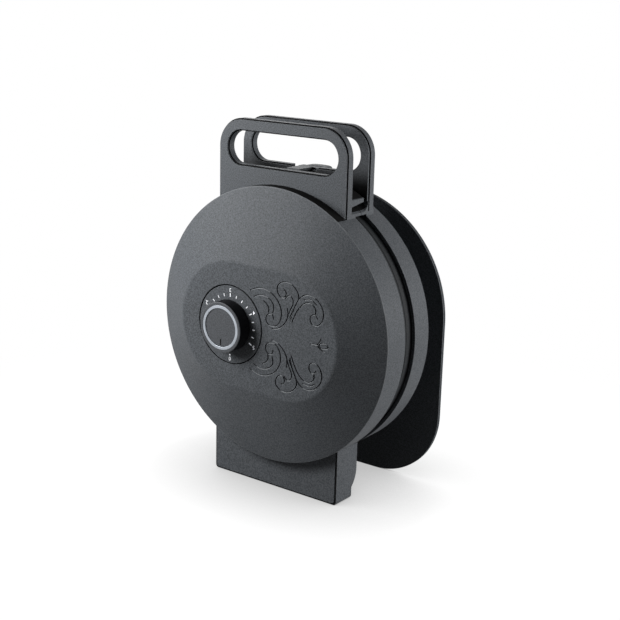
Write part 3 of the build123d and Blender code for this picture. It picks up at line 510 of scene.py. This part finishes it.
def baking_plate(name, way, rim_depth):
    """The casting, from its rim at the parting to the channel for the heater at its back."""
    rim, face = plates_meet + way * 0.15, plates_meet + way * 0.8
    web, back = face + way * 4.5, rim + way * rim_depth
    channel = [(web + way * (2.1 + 3.35 * sin(radians(a))), 68 + 3.35 * cos(radians(a)))
               for a in (-39, -55, -72, -90, -108, -125, -141)]
    plate = turned(name, [
        (face, 0), (face, 20.0), (face - way * 0.35, 20.5), (face - way * 0.35, 21.5), (face, 22.0),
        (face, 56.0), (face - way * 0.35, 56.5), (face - way * 0.35, 57.5), (face, 58.0),
        (face, 79.0), (face - way * 0.35, 79.5), (face - way * 0.35, 80.5), (face, 81.0),
        (face, rim_in - 1.2), (rim + way * 0.1, rim_in), (rim, rim_in + 0.4), (rim, plate_r - 0.4),
        (rim + way * 0.4, plate_r), (rim + way * 2.2, plate_r), (rim + way * 2.35, plate_r - 0.35),
        (rim + way * 2.65, plate_r - 0.35), (rim + way * 2.8, plate_r), (back, plate_r), (back, rim_in),
        (web, rim_in)]
        + channel + [(web, 0)])
    for a in plate_screw_angles:
        for ring in (plate_screw_ring, plate_r):
            spot = (ring * cos(radians(a)), axis_z + ring * sin(radians(a)))
            cut(plate, turned("notch", [(rim - way, 0), (rim - way, 3.6), (back + way, 3.6),
                                        (back + way, 0)], spot))
    soften(plate, 0)

    def at(radius, angle):
        return (radius * sin(radians(angle)), face, axis_z + radius * cos(radians(angle)))

    raised = []
    for k in range(12):
        a = 30 * k
        petal = [at(r, a + d) for r, d in ((23, 0), (30, -7), (40, -9.5), (48, -6), (54, 0),
                                           (48, 6), (40, 9.5), (30, 7))]
        raised.append(line_tube("petal", petal, 0.45, close=True))
        raised.append(line_tube("vein", [at(27, a), at(36, a), at(46, a)], 0.38))
        raised.append(line_tube("arch", [at(24, a + 15), at(36, a + 15), at(44, a + 13), at(48, a + 15),
                                         at(44, a + 17), at(38, a + 15)], 0.35))
        raised.append(line_tube("curl", [at(59, a), at(66, a + 1), at(73, a + 6), at(75, a + 13),
                                         at(70, a + 17), at(65.5, a + 13), at(68, a + 9),
                                         at(70.5, a + 12)], 0.42))
        raised.append(line_tube("leaf", [at(61, a + 17), at(66, a + 20), at(73, a + 22), at(77, a + 25),
                                         at(72, a + 26), at(65, a + 24)], 0.38, close=True))
        raised.append(line_tube("star", [at(4, a), at(12, a - 8), at(18.5, a), at(12, a + 8)], 0.38,
                                close=True))
    for k in range(36):
        a = 10 * k
        raised.append(line_tube("scallop", [at(82, a), at(87, a + 0.6), at(90.5, a + 5),
                                            at(87, a + 9.4), at(82, a + 10)], 0.38))
    for piece in raised:
        bpy.ops.object.select_all(action="DESELECT")
        only(piece)
        bpy.ops.object.shade_smooth()
    return join(name, [plate] + raised)


coating = coated_casting("coated casting", (0.05, 0.05, 0.052))
rim_shade = moulded_plastic("painted rim shade", (0.026, 0.028, 0.03), roughness=0.6, gloss=0.1)
for half, way, rim_depth, body in (("lower", 1, 10.4, "base"), ("upper", -1, 8.0, "lid")):
    plate = baking_plate(f"{half}_baking_plate", way, rim_depth)
    wear(plate, coating)
    # The rim at the parting is painted darker, as painted shade in the step between the shells.
    paint(plate, rim_shade, lambda p: off_axis(p) > plate_r - 0.5)
    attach(plate, body)
    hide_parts(f"{half}_plate")
    places = [(plate_screw_ring * cos(radians(a)), axis_z + plate_screw_ring * sin(radians(a)))
              for a in plate_screw_angles]
    under_head = plates_meet + way * (0.15 + rim_depth)
    screws = copies(f"{half}_plate_screw_set",
                    screw(f"{half}_plate_screw", places[0], under_head, 3.0, 2.0, 1.7,
                          under_head + way * 10, way),
                    [(x - places[0][0], 0, z - places[0][1]) for x, z in places[1:]])
    wear(screws, zinc)
    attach(screws, body)
    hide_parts(f"{half}_plate_screws")

# ---- Base half of the handle ---------------------------------------------------------------------
# The rear plate of the loop handle with its foot, an arc that is screwed to the base shell's band.
# Its face is set in and stands proud of the frame, and the step round the outside and the hand slot
# is painted black as shade. The trough between the plates is painted black as shade too, the face is
# painted darker down into the trough as painted shade, its rounded edges are painted lighter as
# painted highlight, and a notch in the bar lets the latch through.
handle_half, handle_top, handle_corner = 60.0, 285.8, 21.5
slot_half, slot_r, slot_z = 51.0, 12.7, 263.8
seam_wide, seam_deep = 1.0, 1.8
foot_top = 109.6            # radius of the outside of the feet of both halves
well_front, well_back, well_top = -19.4, 3, 118.8


def handle_outline(y, inset):
    half, r = handle_half - inset, handle_corner - inset
    corner_x, corner_z = handle_half - handle_corner, handle_top - handle_corner
    flat = ([(half, axis_z)] + arc(r, 0, 90, (corner_x, corner_z), 4)
            + arc(r, 90, 180, (-corner_x, corner_z), 4) + [(-half, axis_z)])
    return [(x, y, z) for x, z in flat]


def slot_outline(y, outset):
    run, r = slot_half - slot_r, slot_r + outset
    flat = arc(r, -90, 90, (run, slot_z), 5) + arc(r, 90, 270, (-run, slot_z), 5)
    return [(x, y, z) for x, z in flat]


def handle_plate(name, front, back):
    """One plate of the handle: the face, set in all round, and the frame behind it."""
    plate = slab(name, handle_outline(front, seam_wide), (0, seam_deep, 0))
    cut(plate, slab("face slot", slot_outline(front - 1, seam_wide), (0, seam_deep + 2, 0)))
    rest = slab("frame", handle_outline(front + seam_deep, 0), (0, back - front - seam_deep, 0))
    cut(rest, slab("frame slot", slot_outline(front, 0), (0, back - front + 1, 0)))
    weld(plate, rest)
    return plate


def black_seam(plate, front):
    """Paints the step between the face and the frame of a handle plate black, as painted shade."""
    paint(plate, shade_and_pointer_black, lambda p: front + 0.12 < p.y < front + seam_deep + 0.03
          and off_axis(p) > foot_top - 0.1)


def black_well(plate):
    """Paints the trough between the two plates of the handle black as painted shade, and leaves its ends as
    they are.
    """
    paint(plate, shade_and_pointer_black, lambda p: well_front < p.y < well_back and abs(p.x) < handle_half - 0.1
          and foot_top - 0.3 < off_axis(p) < well_top)


def foot_arc(name, profile, reach=handle_half):
    """An arc about the body's axis, trimmed straight at both sides."""
    piece = turned(name, profile, sweep=76)
    trim(piece, (reach, 0, 0), (1, 0, 0))
    trim(piece, (-reach, 0, 0), (-1, 0, 0))
    return piece


# Near black laid where shade falls, in seams, troughs and grooves, as painted shade; the knob's pointer line
# takes it as its own colour.
shade_and_pointer_black = moulded_plastic("painted shade and pointer black", (0.006, 0.006, 0.006), roughness=0.8, gloss=0.05)
base_handle_front, base_handle_back = 1.95, 8.8
base_handle = handle_plate("base_handle_half", base_handle_front, base_handle_back)
cut(base_handle, turned("body", [(-40, 0), (-40, 107.5), (40, 107.5), (40, 0)]))
hollow = foot_arc("hollow corner", [(2.4, 108.5), (2.4, 115.6)] + arc(6, 0, -90, (-4.05, 115.6), 11)
                  + [(-4.05, 108.5)])
cut(hollow, block("gap", (-17, -6, 230), (17, 5, 260)))
weld(base_handle, foot_arc("foot", [(base_front, base_r), (base_front, 107.9), (-6.3, 107.9),
                                    (-6.3, foot_top), (9.7, foot_top), (9.7, base_r)]), hollow)
cut(base_handle, block("notch", (-13, -10, 242.25), (13, 20, slot_z)))
soften(base_handle, 0.22, edge_place=1)
# The rounded edges are painted lighter, as painted highlight.
wear(base_handle, shell_plastic, edge_highlight_plastic)
# The step round the face and the trough are painted black, as painted shade.
black_seam(base_handle, base_handle_front)
black_well(base_handle)
# The flat face is painted darker from a height of 268 down to black at 242, as painted shade in the trough.
paint(base_handle, moulded_plastic("trough painted shade", (0.094, 0.101, 0.109), gloss=0.1, fade=(242, 268)),
      lambda p: abs(p.y - base_handle_front) < 0.02)
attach(base_handle, "base")
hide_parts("base_handle")
dress("base_handle_screws", zinc)

# ---- Latch ---------------------------------------------------------------------------------------
# A small lever that rocks on a steel pin in the notch of the base handle. Its arm carries a barb at
# the front, and the crowned thumb piece stands behind the handle.
latch_y, latch_z = 6.0, 246.05
arm_top, arm_low, lever_half = 250.7, 248.1, 12.6
dress("latch_pin", zinc)
lever = slab("latch_rocker", [(-lever_half, latch_y - y, latch_z + z)
                              for y, z in arc(3.2, 0, 360, spacing=15)[:-1]], (2 * lever_half, 0, 0))
weld(lever, slab("neck", [(-7, y, z) for y, z in ((5.0, latch_z), (5.0, arm_top), (11.6, arm_top),
                                                  (11.6, 247.9), (8.0, 246.9), (8.0, latch_z))],
                 (lever_half + 7, 0, 0)),
     slab("arm", [(-6, y, z) for y, z in ((latch_y, arm_top - 0.01), (-10.9, arm_top - 0.01), (-10.9, 245.5),
                                          (-8.1, 245.5), (-8.1, arm_low), (latch_y, arm_low))], (12, 0, 0)),
     slab("thumb piece", [(x, 10.65, z) for x, z in
                          [(15.4, 247.6), (15.6, 248.6), (15.3, 249.7), (14.4, 250.6), (13, 251.05),
                           (10, 251.25), (5, 251.3), (0, 251.15), (-3, 250.8), (-5.5, 250.25), (-8, 249.5),
                           (-10, 248.75), (-12.5, 247.6), (-15, 246.6), (-15.8, 246.1), (-15.8, 245.2),
                           (-15, 244.7), (-9, 246.2), (-3, 247.3), (3, 247.6)]], (0, 7.5, 0)))
cut(lever, turned("pin hole", [(-12, 0), (-12, 1.56), (12, 1.56), (12, 0)], (latch_y, latch_z), along="X"))
soften(lever, 0.4, 3)
wear(lever, moulded_plastic("latch plastic", (0.1, 0.106, 0.112), gloss=0.1))
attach(lever, "latch")
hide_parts("latch_lever")

# ---- Hinge pins and clips ------------------------------------------------------------------------
# Two steel pins join the base's lugs to the hinge block, and a spring clip keeps each from sliding out.
dress("hinge_pins", zinc)
dress("hinge_clips", bare_metal("spring steel", (0.34, 0.34, 0.36), 0.35))

# ---- Lid shell -----------------------------------------------------------------------------------
# The front moulding: a straight band, a low dome and a flat stadium-shaped panel. The panel has a
# round recess for the dial and scrollwork engraved beside it, the same above and below the middle.
lid_edge, lid_back, panel_y = -36.0, -13.5, -51.0
body_r, panel_r, panel_run, panel_x, edge_angle = 107.0, 49.0, 25.05, -1.15, 14.0
dial_x, recess_r, recess_deep, groove_deep = -26.6, 31.2, 1.1, 2.0
lit_side = Vector((-0.5, 0, 0.86))


def off_dial(p):
    """How far a place is from the axis of the dial."""
    return Vector((p.x - dial_x, p.z - axis_z)).length


def in_panel(p):
    """Whether a place lies in the flat panel, clear of its rounded edge."""
    return Vector((max(abs(p.x - panel_x) - panel_run, 0), p.z - axis_z)).length < panel_r - 3


lid_shell = outline("lid_shell_moulding", [
    (body_r * sin(radians(a)), lid_back, axis_z + body_r * cos(radians(a))) for a in range(0, 360, step)])
open_whole(lid_shell)
bpy.ops.mesh.extrude_region_move(TRANSFORM_OT_translate={"value": (0, (lid_edge - lid_back) * mm, 0)})
bpy.ops.mesh.extrude_region_move(TRANSFORM_OT_translate={"value": (0, (panel_y - lid_edge) * mm, 0)})
bpy.ops.object.mode_set(mode="OBJECT")
for corner in lid_shell.data.vertices:
    if corner.co.y < (panel_y + 1) * mm:
        across, up = corner.co.x / mm, corner.co.z / mm - axis_z
        turn = degrees(asin(max(-1, min(1, up / body_r))))
        side = 1 if across > 0 else -1
        if abs(turn) <= 90 - edge_angle:
            turn = radians(turn * 90 / (90 - edge_angle))
            across, up = side * (panel_run + panel_r * cos(turn)), panel_r * sin(turn)
        else:
            across = panel_run * degrees(asin(across / body_r)) / edge_angle
            up = panel_r if up > 0 else -panel_r
        corner.co = Vector((across + panel_x, panel_y, axis_z + up)) * mm
pick(lid_shell, "EDGE", lambda one, other: max(one.y, other.y) < panel_y + 0.1)
bpy.ops.mesh.edge_face_add()
bpy.ops.mesh.select_all(action="SELECT")
bpy.ops.mesh.normals_make_consistent(inside=False)
pick(lid_shell, "EDGE", lambda one, other: max(one.y, other.y) < panel_y + 0.1)
bpy.ops.mesh.bevel(offset=1.3 * mm, segments=4, affect="EDGES")
pick(lid_shell, "EDGE", lambda one, other: abs(one.y - lid_edge) < 0.01 and abs(other.y - lid_edge) < 0.01)
bpy.ops.mesh.bevel(offset=0.5 * mm, segments=3, affect="EDGES")
bpy.ops.object.mode_set(mode="OBJECT")
thickness = lid_shell.modifiers.new("wall", "SOLIDIFY")
thickness.thickness, thickness.offset, thickness.use_even_offset = wall * mm, -1, True
only(lid_shell)
bpy.ops.object.modifier_apply(modifier=thickness.name)
cut(lid_shell, turned("dial recess", [
    (panel_y - 1, 0), (panel_y - 1, recess_r + 0.25), (panel_y, recess_r + 0.25), (panel_y + 0.3, recess_r),
    (panel_y + groove_deep, recess_r), (panel_y + groove_deep, 30.2), (panel_y + recess_deep, 30.2),
    (panel_y + recess_deep, 0)], (dial_x, axis_z)),
    turned("shaft hole", [(panel_y - 1, 0), (panel_y - 1, 3.6), (panel_y + 5, 3.6), (panel_y + 5, 0)],
           (dial_x, axis_z)))
for a in plate_screw_angles:
    weld(lid_shell, turned("post", [(-17.95, 1.75), (-17.95, 4.2), (-36.4, 4.2), (-36.4, 1.75)],
                           (plate_screw_ring * cos(radians(a)),
                            axis_z + plate_screw_ring * sin(radians(a)))))
for x, z in ((29, 225.0), (-29, 225.0), (18, 28.2), (-18, 28.2)):
    weld(lid_shell, block("pad", (x - 3.4, -25.2, z), (x + 3.4, -18.4, z + 6.9)))

scrolls = {
    "first scroll": [(-7, 30.5), (-1, 33.2), (5, 34), (12, 32.4), (18.4, 28.2), (22, 22.5), (23, 17),
                     (21.7, 11), (18, 6.8), (13, 6), (9, 8.3), (8, 11.6), (9.8, 15), (13.3, 16),
                     (15.4, 14.2), (15.4, 11.6)],
    "first leaf": [(-3.5, 26), (0, 28), (5, 28.7), (10.4, 27.5), (14.5, 24.7), (16, 20.7), (14.6, 16.6)],
    "first vein": [(5.5, 24.6), (9.5, 22.6), (11.2, 19), (10.6, 16)],
    "sweep": [(14, 4.4), (19, 5), (24, 8.3), (27.8, 13), (29.2, 18), (28.2, 23)],
    "second scroll": [(30.6, 16), (33.2, 21.5), (36.4, 27), (38.4, 31.7), (37.6, 36.2), (34.3, 39.8),
                      (29.8, 42), (24.6, 42.2), (20, 40), (18, 36.4), (19, 32.6), (21.8, 29.8),
                      (25, 30), (27, 32.6), (26.4, 35.8), (23.6, 36.6)],
    "second leaf": [(26, 29.6), (28.4, 32.6), (31.4, 32.4), (33.6, 29.6), (33.2, 25.8), (30.6, 21.4),
                    (28.8, 16.5)],
    "third scroll": [(31.4, 14.5), (33.6, 21.8), (36.4, 28), (39.8, 32.8), (43.8, 35.4), (48.4, 36),
                     (54, 34.4), (58.8, 30.2), (61, 25.2), (60.6, 19.6), (57.4, 15), (53.2, 13.8),
                     (49.4, 15.6), (48.8, 19.4), (51.2, 22.2), (54.6, 22), (55.6, 19.4)],
    "third leaf": [(32.6, 12.5), (35.4, 19.5), (39.2, 25.2), (43, 28.9), (48, 30.5), (52.4, 28.6),
                   (54.4, 25.4), (53.6, 22.2)],
    "third vein": [(43.2, 31.6), (47.4, 33), (51.6, 32.2), (55, 29.6)],
}
sprig = {
    "stalk": [(49.5, -0.2), (53.5, 0.2), (57, 0)],
    "bud": [(57, 0), (59.4, 2.2), (63, 2.6), (66.6, 0.4), (63, -1.8), (59.4, -1.8)],
    "upper leaf": [(56, 0.4), (58, 2.2), (59.4, 5.6)],
    "lower leaf": [(56, -0.4), (58.6, -2.4), (63.4, -4.2)],
}
engraved = [(name, [(x, panel_y, axis_z + side * z) for x, z in line])
            for name, line in scrolls.items() for side in (1, -1)]
engraved += [(name, [(x, panel_y, axis_z + z) for x, z in line]) for name, line in sprig.items()]
for name, line in engraved:
    cut(lid_shell, line_tube(name, line, 0.6, close=name == "bud"))
soften(lid_shell, 0)
wear(lid_shell, shell_plastic)
# The groove round the dial and the strip of band under the handle are painted black as shade, and the
# dome's edge is painted lighter as a highlight. The walls of the engraved lines are painted light where
# they face the lamp, up and to the left, as painted highlight, and dark where they face away, as painted
# shade.
paint(lid_shell, shade_and_pointer_black, lambda p: panel_y + 0.25 < p.y < panel_y + groove_deep + 0.01
      and off_dial(p) > 30.1 and in_panel(p))
paint(lid_shell, shade_and_pointer_black, lambda p: p.y > lid_edge + 0.4 and p.z > axis_z + 80 and abs(p.x) < 60
      and off_axis(p) > body_r - 0.3)
paint(lid_shell, edge_highlight_plastic, lambda p: abs(p.y - lid_edge) < 0.52 and off_axis(p) > body_r - 1.2)
engraving_shade_grey = moulded_plastic("painted engraving shade", (0.022, 0.024, 0.026), roughness=0.8, gloss=0.05)
lid_shell.data.materials.append(engraving_shade_grey)
highlit_wall, shaded_wall = (lid_shell.data.materials.find(stuff.name) for stuff in (edge_highlight_plastic, engraving_shade_grey))
for face in lid_shell.data.polygons:
    middle = face.center / mm
    if panel_y + 0.05 < middle.y < panel_y + 1.2 and off_dial(middle) > 32.5 and in_panel(middle):
        face.material_index = highlit_wall if face.normal.dot(lit_side) > 0.3 else shaded_wall
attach(lid_shell, "lid")
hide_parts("lid_shell")

# ---- Hinge block ---------------------------------------------------------------------------------
# The foot under the lid shell, screwed to its band from inside, on which the iron stands. It is open
# at the back, where the base's lugs come in, and its face is set in like those of the handle.
block_half, block_front, block_back, block_corner = 60.5, -28.2, -1.1, 2.5
face_inset, face_proud = 1.5, 0.8


def block_outline(y, inset):
    half, r = block_half - inset, block_corner
    flat = ([(half, 49)] + [(-half, 49)] + arc(r, 180, 270, (-half + r, inset + r), 15)
            + arc(r, 270, 360, (half - r, inset + r), 15))
    return [(x, y, z) for x, z in flat]


hinge_block = slab("hinge_block_moulding", block_outline(block_front, face_inset), (0, face_proud, 0))
weld(hinge_block, slab("rest", block_outline(block_front + face_proud, 0),
                       (0, block_back - block_front - face_proud, 0)))
heel = ([(-7.2, -1), (-7.2, 8.9)] + arc(20.5, -45, 0, (-21.6, 23.5), 5)
        + [(block_back, 26), (block_back + 2, 26), (block_back + 2, -1)])
cut(hinge_block, slab("heel", [(-62, y, z) for y, z in heel], (124, 0, 0)),
    block("hollow", (-57.9, block_front + wall, wall), (57.9, 10, 60)))
for side in (-1, 1):
    weld(hinge_block, turned("hub", [(side * 42.4, 0), (side * 42.4, 7), (side * 59, 7), (side * 59, 0)],
                             (pivot_y, pivot_z), along="X"),
         block("post", (side * 18 - 4.2, -25.5, 1.3), (side * 18 + 4.2, -17.6, 28)))
cut(hinge_block, turned("pin hole", [(-59, 0), (-59, 3.06), (59, 3.06), (59, 0)],
                        (pivot_y, pivot_z), along="X"),
    turned("body", [(-40, 0), (-40, body_r), (40, body_r), (40, 0)]))
soften(hinge_block, 0.25)
wear(hinge_block, shell_plastic)
# The step round the set-in face is painted near black, as painted shade.
paint(hinge_block, moulded_plastic("painted seam shade grey", (0.02, 0.021, 0.022), roughness=0.8, gloss=0.1),
      lambda p: block_front + 0.12 < p.y < block_front + face_proud + 0.03)
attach(hinge_block, "lid")
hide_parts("hinge_block")
dress("block_screws", zinc)

# ---- Lid half of the handle ----------------------------------------------------------------------
# The front plate of the loop handle. Its foot follows the lid's band, and a curved rib behind it
# shields the fingers from the hot shells.
lid_handle_front, lid_handle_back = -26.05, -18.75
lid_handle = handle_plate("lid_handle_half", lid_handle_front, lid_handle_back)
cut(lid_handle, turned("body", [(-40, 0), (-40, body_r), (40, body_r), (40, 0)]))
weld(lid_handle, foot_arc("foot", [(-24.4, body_r), (-24.4, foot_top), (-6.9, foot_top), (-6.9, 107.9),
                                   (lid_back, 107.9), (lid_back, body_r)]))
rib = foot_arc("rib", [(-19.2, 114.1), (-19.2, 118.3), (-3.75, 118.3), (-3.75, 116.1)])
cut(rib, block("gap", (-17, -18.75, 240), (17, 0, 260)))
weld(lid_handle, rib)
soften(lid_handle, 0.22, edge_place=1)
# The rounded edges are painted lighter as painted highlight, and the step round the face and the trough
# behind it are painted black as painted shade.
wear(lid_handle, shell_plastic, edge_highlight_plastic)
black_seam(lid_handle, lid_handle_front)
black_well(lid_handle)
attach(lid_handle, "lid")
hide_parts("lid_handle")
dress("lid_handle_screws", zinc)
dress("latch_catch", bare_metal("catch steel", (0.5, 0.5, 0.5), 0.34))

# ---- Thermostat ----------------------------------------------------------------------------------
# A capillary thermostat behind the dial, on a riveted bracket of strip steel. The shaft comes out
# through the lid shell to the knob.
dress("thermostat", bare_metal("thermostat case", (0.6, 0.59, 0.56), 0.33))
dress("thermostat_bracket", bare_metal("bracket steel", (0.5, 0.5, 0.5), 0.4, stretch=(0.15, 1, 1)))
dress("bracket_rivets", bare_metal("rivet aluminium", (0.7, 0.7, 0.7), 0.4))
dress("knob_shaft", bare_metal("shaft steel", (0.55, 0.55, 0.55), 0.28))

# ---- Dial plate and its printing -----------------------------------------------------------------
# A round plate pressed into the recess of the panel, moulded like the shell. The scale is printed on
# it in white: a dot at 0, the numbers 0 to 5, and short lines between them.
dial_r = 30.3
ink_front, ink_back = panel_y - 0.03, panel_y + 0.05
dial_plate = turned("dial_plate_disc", [
    (panel_y + recess_deep, 3.6), (panel_y, 3.6), (panel_y, dial_r - 0.15), (panel_y + 0.15, dial_r),
    (panel_y + recess_deep, dial_r)], (dial_x, axis_z))
soften(dial_plate, 0)
wear(dial_plate, moulded_plastic("dial plastic", (0.094, 0.101, 0.109), gloss=0.1))
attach(dial_plate, "lid")
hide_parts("dial_plate")


def dial_point(radius, angle):
    """A place on the dial, with the angle in degrees from straight down, turning past nine o'clock."""
    return dial_x - radius * sin(radians(angle)), axis_z - radius * cos(radians(angle))


prints = []
for angle in range(60, 301, 15):
    main = angle % 60 == 0
    half_long, half_wide = (1.35, 0.38) if main else (1.1, 0.3)
    middle = dial_point(23.2, angle)
    tick = block("tick", (-half_wide, ink_front, -half_long), (half_wide, ink_back, half_long))
    tick.data.transform(Matrix.Translation((middle[0] * mm, 0, middle[1] * mm))
                        @ Matrix.Rotation(radians(angle), 4, "Y"))
    prints.append(tick)
prints.append(turned("dot", [(ink_front, 0), (ink_front, 0.62), (ink_back, 0.62), (ink_back, 0)],
                     dial_point(24.0, 0)))
for number, radius in enumerate((27, 27, 27, 27.3, 27, 27)):
    middle = dial_point(radius, number * 60)
    bpy.ops.object.text_add()
    digit = bpy.context.active_object
    digit.data.body, digit.data.size = str(number), 4.3 * mm
    digit.data.align_x, digit.data.align_y = "CENTER", "CENTER"
    digit.data.extrude, digit.data.offset = 0.04 * mm, 0.02 * mm
    bpy.ops.object.convert(target="MESH")
    digit = bpy.context.active_object
    digit.data.transform(Matrix.Translation((middle[0] * mm, panel_y * mm, middle[1] * mm))
                         @ Matrix.Rotation(pi, 4, "Y") @ Matrix.Rotation(pi / 2, 4, "X"))
    prints.append(digit)
printing = join("dial_printing", prints)
ink = moulded_plastic("white ink with painted glow", (0.9, 0.91, 0.92), roughness=0.5, grain=0.15)
# The ink also glows a little, as painted light, so the print stays bright in the knob's shade.
ink.node_tree.nodes["Principled BSDF"].inputs["Emission Color"].default_value = (0.9, 0.93, 1, 1)
ink.node_tree.nodes["Principled BSDF"].inputs["Emission Strength"].default_value = 0.35
wear(printing, ink)
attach(printing, "lid")

# ---- Knob ----------------------------------------------------------------------------------------
# A turned-looking cup of black plastic with a satin metal ring let into its face, a grey cap inside
# the ring and a black pointer line in the cap. All four turn together on the shaft.
knob_face, knob_back, knob_r = -62.6, -51.4, 19.75
knob_place = (dial_x, axis_z)
knob = turned("knob_cup", [
    (knob_back, 3.05), (knob_back, knob_r - 0.3), (knob_back - 0.3, knob_r), (knob_face + 0.55, knob_r),
    (knob_face + 0.2, knob_r - 0.12), (knob_face, knob_r - 0.5), (knob_face, 17.45),
    (knob_face + 0.15, 17.3), (knob_face + 2, 17.3), (knob_face + 2, 0), (knob_face + 5.2, 0),
    (knob_face + 5.2, 3.05)], knob_place)
soften(knob, 0)
wear(knob, moulded_plastic("knob black", (0.006, 0.006, 0.007), roughness=0.5, gloss=0.08, grain=0.7))
cap_grey_and_rim_light = moulded_plastic("cap grey and painted rim light", (0.088, 0.093, 0.1), roughness=0.42, gloss=0.15, grain=0.7)
# The front rim of the cup is painted the cap's grey, as painted light on the face the lamps reach.
paint(knob, cap_grey_and_rim_light, lambda p: p.y < knob_face + 0.6)
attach(knob, "dial")
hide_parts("knob")

knob_ring = turned("knob_silver_ring", [
    (knob_face + 2, 14.95), (knob_face + 0.2, 14.95), (knob_face, 15.15), (knob_face, 17.05),
    (knob_face + 0.2, 17.25), (knob_face + 2, 17.25)], knob_place)
soften(knob_ring, 0)
wear(knob_ring, bare_metal("satin metal", (0.36, 0.385, 0.42), 0.5, brushed=1.5))
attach(knob_ring, "dial")
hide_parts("knob_ring")

cap_face = knob_face + 0.7
knob_cap = turned("knob_grey_cap", [(knob_face + 2, 0), (knob_face + 2, 14.9), (cap_face + 0.2, 14.9),
                                    (cap_face, 14.6), (cap_face, 0)], knob_place)
cut(knob_cap, block("pointer slot", (dial_x - 0.6, cap_face - 0.5, axis_z - 13.8),
                    (dial_x + 0.6, cap_face + 0.5, axis_z - 9)))
soften(knob_cap, 0)
wear(knob_cap, cap_grey_and_rim_light)
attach(knob_cap, "dial")
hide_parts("knob_cap")
pointer = block("knob_pointer_line", (dial_x - 0.6, cap_face + 0.1, axis_z - 13.8),
                (dial_x + 0.6, cap_face + 0.5, axis_z - 9))
wear(pointer, shade_and_pointer_black)
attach(pointer, "dial")
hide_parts("knob_pointer")

# ---- Studio --------------------------------------------------------------------------------------
# A white floor, whose faint matt layer keeps the lamps' shadow and whose glow is dimmed near the object as a
# painted contact shadow, a white surrounding, three soft lamps and the camera.


def backdrop_rays(nodes, links):
    """1 for a ray that shows the white background: from the camera, a reflection or clear matter."""
    ray = nodes.new("ShaderNodeLightPath")
    seen = ray.outputs["Is Camera Ray"]
    for kind in ("Is Glossy Ray", "Is Transmission Ray"):
        larger = nodes.new("ShaderNodeMath")
        larger.operation = "MAXIMUM"
        links.new(seen, larger.inputs[0])
        links.new(ray.outputs[kind], larger.inputs[1])
        seen = larger.outputs["Value"]
    return seen


bpy.ops.mesh.primitive_plane_add(size=8)
floor = bpy.context.active_object
floor.name = "floor"
paper = bpy.data.materials.new("floor paper")
paper.use_nodes = True
nodes, links = paper.node_tree.nodes, paper.node_tree.links
nodes.remove(nodes["Principled BSDF"])
matt = nodes.new("ShaderNodeBsdfDiffuse")
matt.inputs["Color"].default_value = (0.06, 0.06, 0.06, 1)
# Close to the object the floor glows, dimmed by ambient occlusion as a painted contact shadow; further out
# it is plain white.
corner_shade = nodes.new("ShaderNodeAmbientOcclusion")
corner_shade.inputs["Distance"].default_value = 0.08
glow_with_painted_shadow = nodes.new("ShaderNodeEmission")
links.new(spread(nodes, links, corner_shade.outputs["AO"], 0.3, 1), glow_with_painted_shadow.inputs["Strength"])
near = nodes.new("ShaderNodeAddShader")
links.new(matt.outputs["BSDF"], near.inputs[0])
links.new(glow_with_painted_shadow.outputs["Emission"], near.inputs[1])
far = nodes.new("ShaderNodeEmission")
place = nodes.new("ShaderNodeTexCoord")
reach = nodes.new("ShaderNodeVectorMath")
reach.operation = "LENGTH"
links.new(place.outputs["Object"], reach.inputs[0])
fade = nodes.new("ShaderNodeMapRange")
fade.interpolation_type = "SMOOTHSTEP"
fade.inputs["From Min"].default_value, fade.inputs["From Max"].default_value = 0.2, 0.42
links.new(reach.outputs["Value"], fade.inputs["Value"])
shown = nodes.new("ShaderNodeMixShader")
links.new(fade.outputs["Result"], shown.inputs["Fac"])
links.new(near.outputs["Shader"], shown.inputs[1])
links.new(far.outputs["Emission"], shown.inputs[2])
plain = nodes.new("ShaderNodeBsdfDiffuse")
plain.inputs["Color"].default_value = (0.12, 0.12, 0.12, 1)
both = nodes.new("ShaderNodeMixShader")
links.new(backdrop_rays(nodes, links), both.inputs["Fac"])
links.new(plain.outputs["BSDF"], both.inputs[1])
links.new(shown.outputs["Shader"], both.inputs[2])
links.new(both.outputs["Shader"], nodes["Material Output"].inputs["Surface"])
floor.data.materials.append(paper)

world = bpy.data.worlds.new("studio") if bpy.context.scene.world is None else bpy.context.scene.world
bpy.context.scene.world = world
world.use_nodes = True
nodes, links = world.node_tree.nodes, world.node_tree.links
nodes.clear()
air = nodes.new("ShaderNodeBackground")
air.inputs["Color"].default_value = (1, 1, 1, 1)
links.new(spread(nodes, links, backdrop_rays(nodes, links), 0.01, 1), air.inputs["Strength"])
end = nodes.new("ShaderNodeOutputWorld")
links.new(air.outputs["Background"], end.inputs["Surface"])


def lamp(name, place, aim, size, power):
    """A soft square lamp turned towards a point, with its place and aim in metres."""
    bpy.ops.object.light_add(type="AREA", location=place)
    made = bpy.context.active_object
    made.name, made.data.size, made.data.energy = name, size, power
    made.rotation_euler = (Vector(aim) - Vector(place)).to_track_quat("-Z", "Y").to_euler()


lamp("key lamp", (-0.33, -0.36, 0.385), (0, 0, 0.21), 0.3, 3.9)
lamp("side lamp", (0.804, 0.392, 0.294), (0, 0, 0.2), 0.4, 7.2)
lamp("rear lamp", (-0.98, 0.98, 1.11), (0, 0, 0.14), 0.7, 6)

bpy.ops.object.camera_add()
camera = bpy.context.active_object
camera.name = "camera"
camera.data.lens, camera.data.sensor_width = 69.285, 36
camera.matrix_world = (Matrix.Translation((0.54128, -0.71726, 0.38158))
                       @ Euler((radians(90 - 15.121), 0, radians(36.474))).to_matrix().to_4x4()
                       @ Matrix.Rotation(radians(1.4583), 4, "Z"))
bpy.context.scene.camera = camera
bpy.context.scene.view_settings.view_transform = "Standard"
